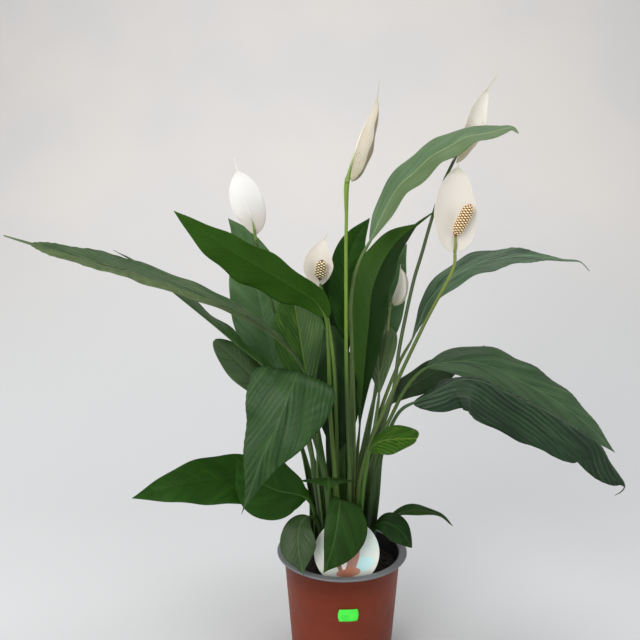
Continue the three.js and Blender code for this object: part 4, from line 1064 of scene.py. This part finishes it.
# middle, half axes and turn of each oval of colour on the card, and its colour
LABEL_OVALS = (
    (20, -14, 14, 8, 0.5, (176, 216, 220)), (-24, 4, 9, 14, 0.2, (206, 222, 208)),
    (6, -12, 7, 22, -0.35, (160, 104, 84)), (-6, -16, 6, 18, 0.4, (128, 76, 60)),
    (2, -24, 15, 6, 0.15, (180, 118, 92)), (-3, -12, 3.5, 9, -0.1, (238, 232, 224)),
)


def label_material():
    """Coated card: pale grey, with broad soft ovals of colour low in the middle."""
    t = Tree("label_card")
    x, y, _ = t.values("card")
    colour = t.mix(t.smooth(t.noise(26, 2), 0.35, 0.65), (206, 209, 199), (190, 203, 199))
    for cx, cy, rx, ry, turn, paint in LABEL_OVALS:
        c, s = math.cos(turn), math.sin(turn)
        dx, dy = t.minus(x, cx), t.minus(y, cy)
        u = t.math("DIVIDE", t.plus(t.times(dx, c), t.times(dy, s)), rx)
        v = t.math("DIVIDE", t.minus(t.times(dy, c), t.times(dx, s)), ry)
        far = t.plus(t.times(u, u), t.times(v, v))
        colour = t.tint(colour, paint, t.smooth(far, 1.08, 0.9), 0.92)
    normal = t.bump(t.noise(900, 2), 0.0001, 0.3)
    return t.finish(t.skin(colour, 0.38, normal, Coat_Weight=0.25, Coat_Roughness=0.25))


def label_piece():
    """A round card that leans back, with a pointed stake."""
    shoulder = math.acos(STAKE_WIDTH / 2 / CARD_RADIUS)
    arc = np.linspace(-shoulder, math.pi + shoulder, 140)
    point = -CARD_RADIUS - STAKE_LENGTH
    edge = np.vstack([np.stack([CARD_RADIUS * np.cos(arc), CARD_RADIUS * np.sin(arc)], -1),
                      [(-STAKE_WIDTH / 2, point + STAKE_POINT), (0, point),
                       (STAKE_WIDTH / 2, point + STAKE_POINT)]])
    inward = unit(np.roll(edge, 1, 0) + np.roll(edge, -1, 0) - 2 * edge + 1e-9)
    half = CARD_THICKNESS / 2
    flat = np.array([np.column_stack([edge + inward * inset, np.full(len(edge), depth)])
                     for inset, depth in ((CARD_INSET, -half), (0, CARD_BEVEL - half),
                                          (0, half - CARD_BEVEL), (CARD_INSET, half))])
    lean = math.radians(90 - CARD_LEAN)
    x, y, z = np.moveaxis(flat, -1, 0)
    solid = np.stack([x, y * math.cos(lean) - z * math.sin(lean),
                      y * math.sin(lean) + z * math.cos(lean)], -1) + CARD_CENTRE
    shape = Shape()
    shape.loft(solid, card=flat)
    shape.piece("plant_label", [label_material()], smooth=False)


def sticker_material():
    t = Tree("sticker_green")
    colour = t.mix(t.smooth(t.noise(120, 3), 0.3, 0.7), (66, 226, 62), (52, 208, 54))
    return t.finish(t.skin(colour, 0.5, t.bump(t.noise(1500, 2), 0.0001, 0.3)))


def sticker_piece():
    """A bare plate bent round the wall, its short ends rounded out in small waves."""
    end = np.linspace(-1, 1, STICKER_GRID[0])[:, None]
    heights = np.linspace(1, -1, STICKER_GRID[1])
    up = np.concatenate([heights, heights[::-1]])
    out = np.repeat([0, 1], len(heights))
    z = STICKER_MIDDLE + up * STICKER_HEIGHT / 2
    bulge = STICKER_WAVE * (1 - np.abs(up) ** 2.2) * np.sign(end) * np.abs(end) ** 6
    radius = outer_radius(z) + STICKER_GAP * 0.5 + out * STICKER_THICKNESS * 0.6
    turn = (end * (STICKER_WIDTH / 2 - 1.2) + 2 * bulge) / radius + math.radians(STICKER_TURN - 90)
    shape = Shape()
    shape.loft(np.stack(np.broadcast_arrays(radius * np.cos(turn), radius * np.sin(turn), z), -1))
    shape.piece("price_sticker", [sticker_material()])


# ---- build ------------

pot_piece()
soil_piece()
label_piece()
sticker_piece()
for row in LEAVES:
    leaf_piece(SimpleNamespace(**{**LEAF_USUAL, **row}))
for row in BLOOMS:
    bloom_pieces(SimpleNamespace(**{**BLOOM_USUAL, **row}))

# ---- studio, in metres ------------

SWEEP_WIDTH = 9.0
SWEEP_FRONT = -4.5
SWEEP_TOP = 3.0
WALL_AT = 2.0
SWEEP_RADIUS = 1.5
SWEEP_STEPS = 24
SKY_COLOUR = (0.98, 0.97, 0.95, 1)
SKY_STRENGTH = 0.62
CAMERA_PLACE = (-0.0288, -0.817, 0.543)
CAMERA_PITCH = 83.6  # degrees up from looking straight down
SENSOR_WIDTH = 36  # mm
FOCAL_LENGTH = 36.56  # mm: 650 pixels of a picture 640 pixels wide
# place, height that it points at, size, watts and colour
LAMPS = {
    "key": ((-1.1, -1.8, 1.5), 0.35, 1.5, 26, (1.0, 0.98, 0.94)),
    "fill": ((1.7, -1.3, 0.8), 0.3, 1.4, 9, (0.96, 0.98, 1.0)),
    "front": ((-0.9, -2.0, 0.45), 0.15, 1.4, 17, (1.0, 0.99, 0.98)),
    "side": ((-1.8, 0.1, 0.7), 0.3, 1.2, 9, (1.0, 0.98, 0.95)),
    "top": ((0.3, 0.1, 2.4), 0.4, 1.6, 22, (1.0, 0.99, 0.97)),
}


def studio_material():
    t = Tree("studio_paper")
    colour = t.mix(t.smooth(t.noise(1.3, 3), 0.35, 0.65), (214, 211, 209), (208, 207, 208))
    # painted shade: the floor and the foot of the wall darker and bluer, fading out 0.9 m up
    colour = t.mix(t.smooth(t.parts(t.place())[2], 0.9, 0.0), colour, (196, 198, 201))
    return t.finish(t.skin(colour, 0.9, t.bump(t.noise(140, 2), 0.0005, 0.15)))


def sweep():
    """A pale floor that curves up into the wall behind."""
    curve = [(WALL_AT - SWEEP_RADIUS + SWEEP_RADIUS * math.sin(a), SWEEP_RADIUS - SWEEP_RADIUS * math.cos(a))
             for a in np.linspace(0, math.pi / 2, SWEEP_STEPS)]
    line = [(SWEEP_FRONT, 0.0), *curve, (WALL_AT, SWEEP_TOP)]
    points = [(x, y, z) for y, z in line for x in (-SWEEP_WIDTH / 2, SWEEP_WIDTH / 2)]
    faces = [(2 * k, 2 * k + 1, 2 * k + 3, 2 * k + 2) for k in range(len(line) - 1)]
    mesh = bpy.data.meshes.new("sweep")
    mesh.from_pydata(points, [], faces)
    mesh.polygons.foreach_set("use_smooth", np.full(len(faces), True))
    mesh.materials.append(studio_material())
    add_object("sweep", mesh)


def area_light(name, place, aim, size, watts, colour):
    data = bpy.data.lights.new(name, "AREA")
    data.shape, data.size, data.energy, data.color = "DISK", size, watts, colour
    lamp = add_object(name, data)
    lamp.location = place
    lamp.rotation_euler = (Vector((0, 0, aim)) - lamp.location).to_track_quat("-Z", "Y").to_euler()


sweep()
for name, lamp in LAMPS.items():
    area_light(name, *lamp)
world = bpy.data.worlds.new("studio")
world.use_nodes = True
background = world.node_tree.nodes["Background"].inputs
background["Color"].default_value = SKY_COLOUR
background["Strength"].default_value = SKY_STRENGTH
bpy.context.scene.world = world
bpy.context.scene.view_settings.view_transform = "Standard"

lens = bpy.data.cameras.new("camera")
lens.sensor_width, lens.lens = SENSOR_WIDTH, FOCAL_LENGTH
camera = add_object("camera", lens)
camera.location = CAMERA_PLACE
camera.rotation_euler = (math.radians(CAMERA_PITCH), 0, 0)
bpy.context.scene.camera = camera
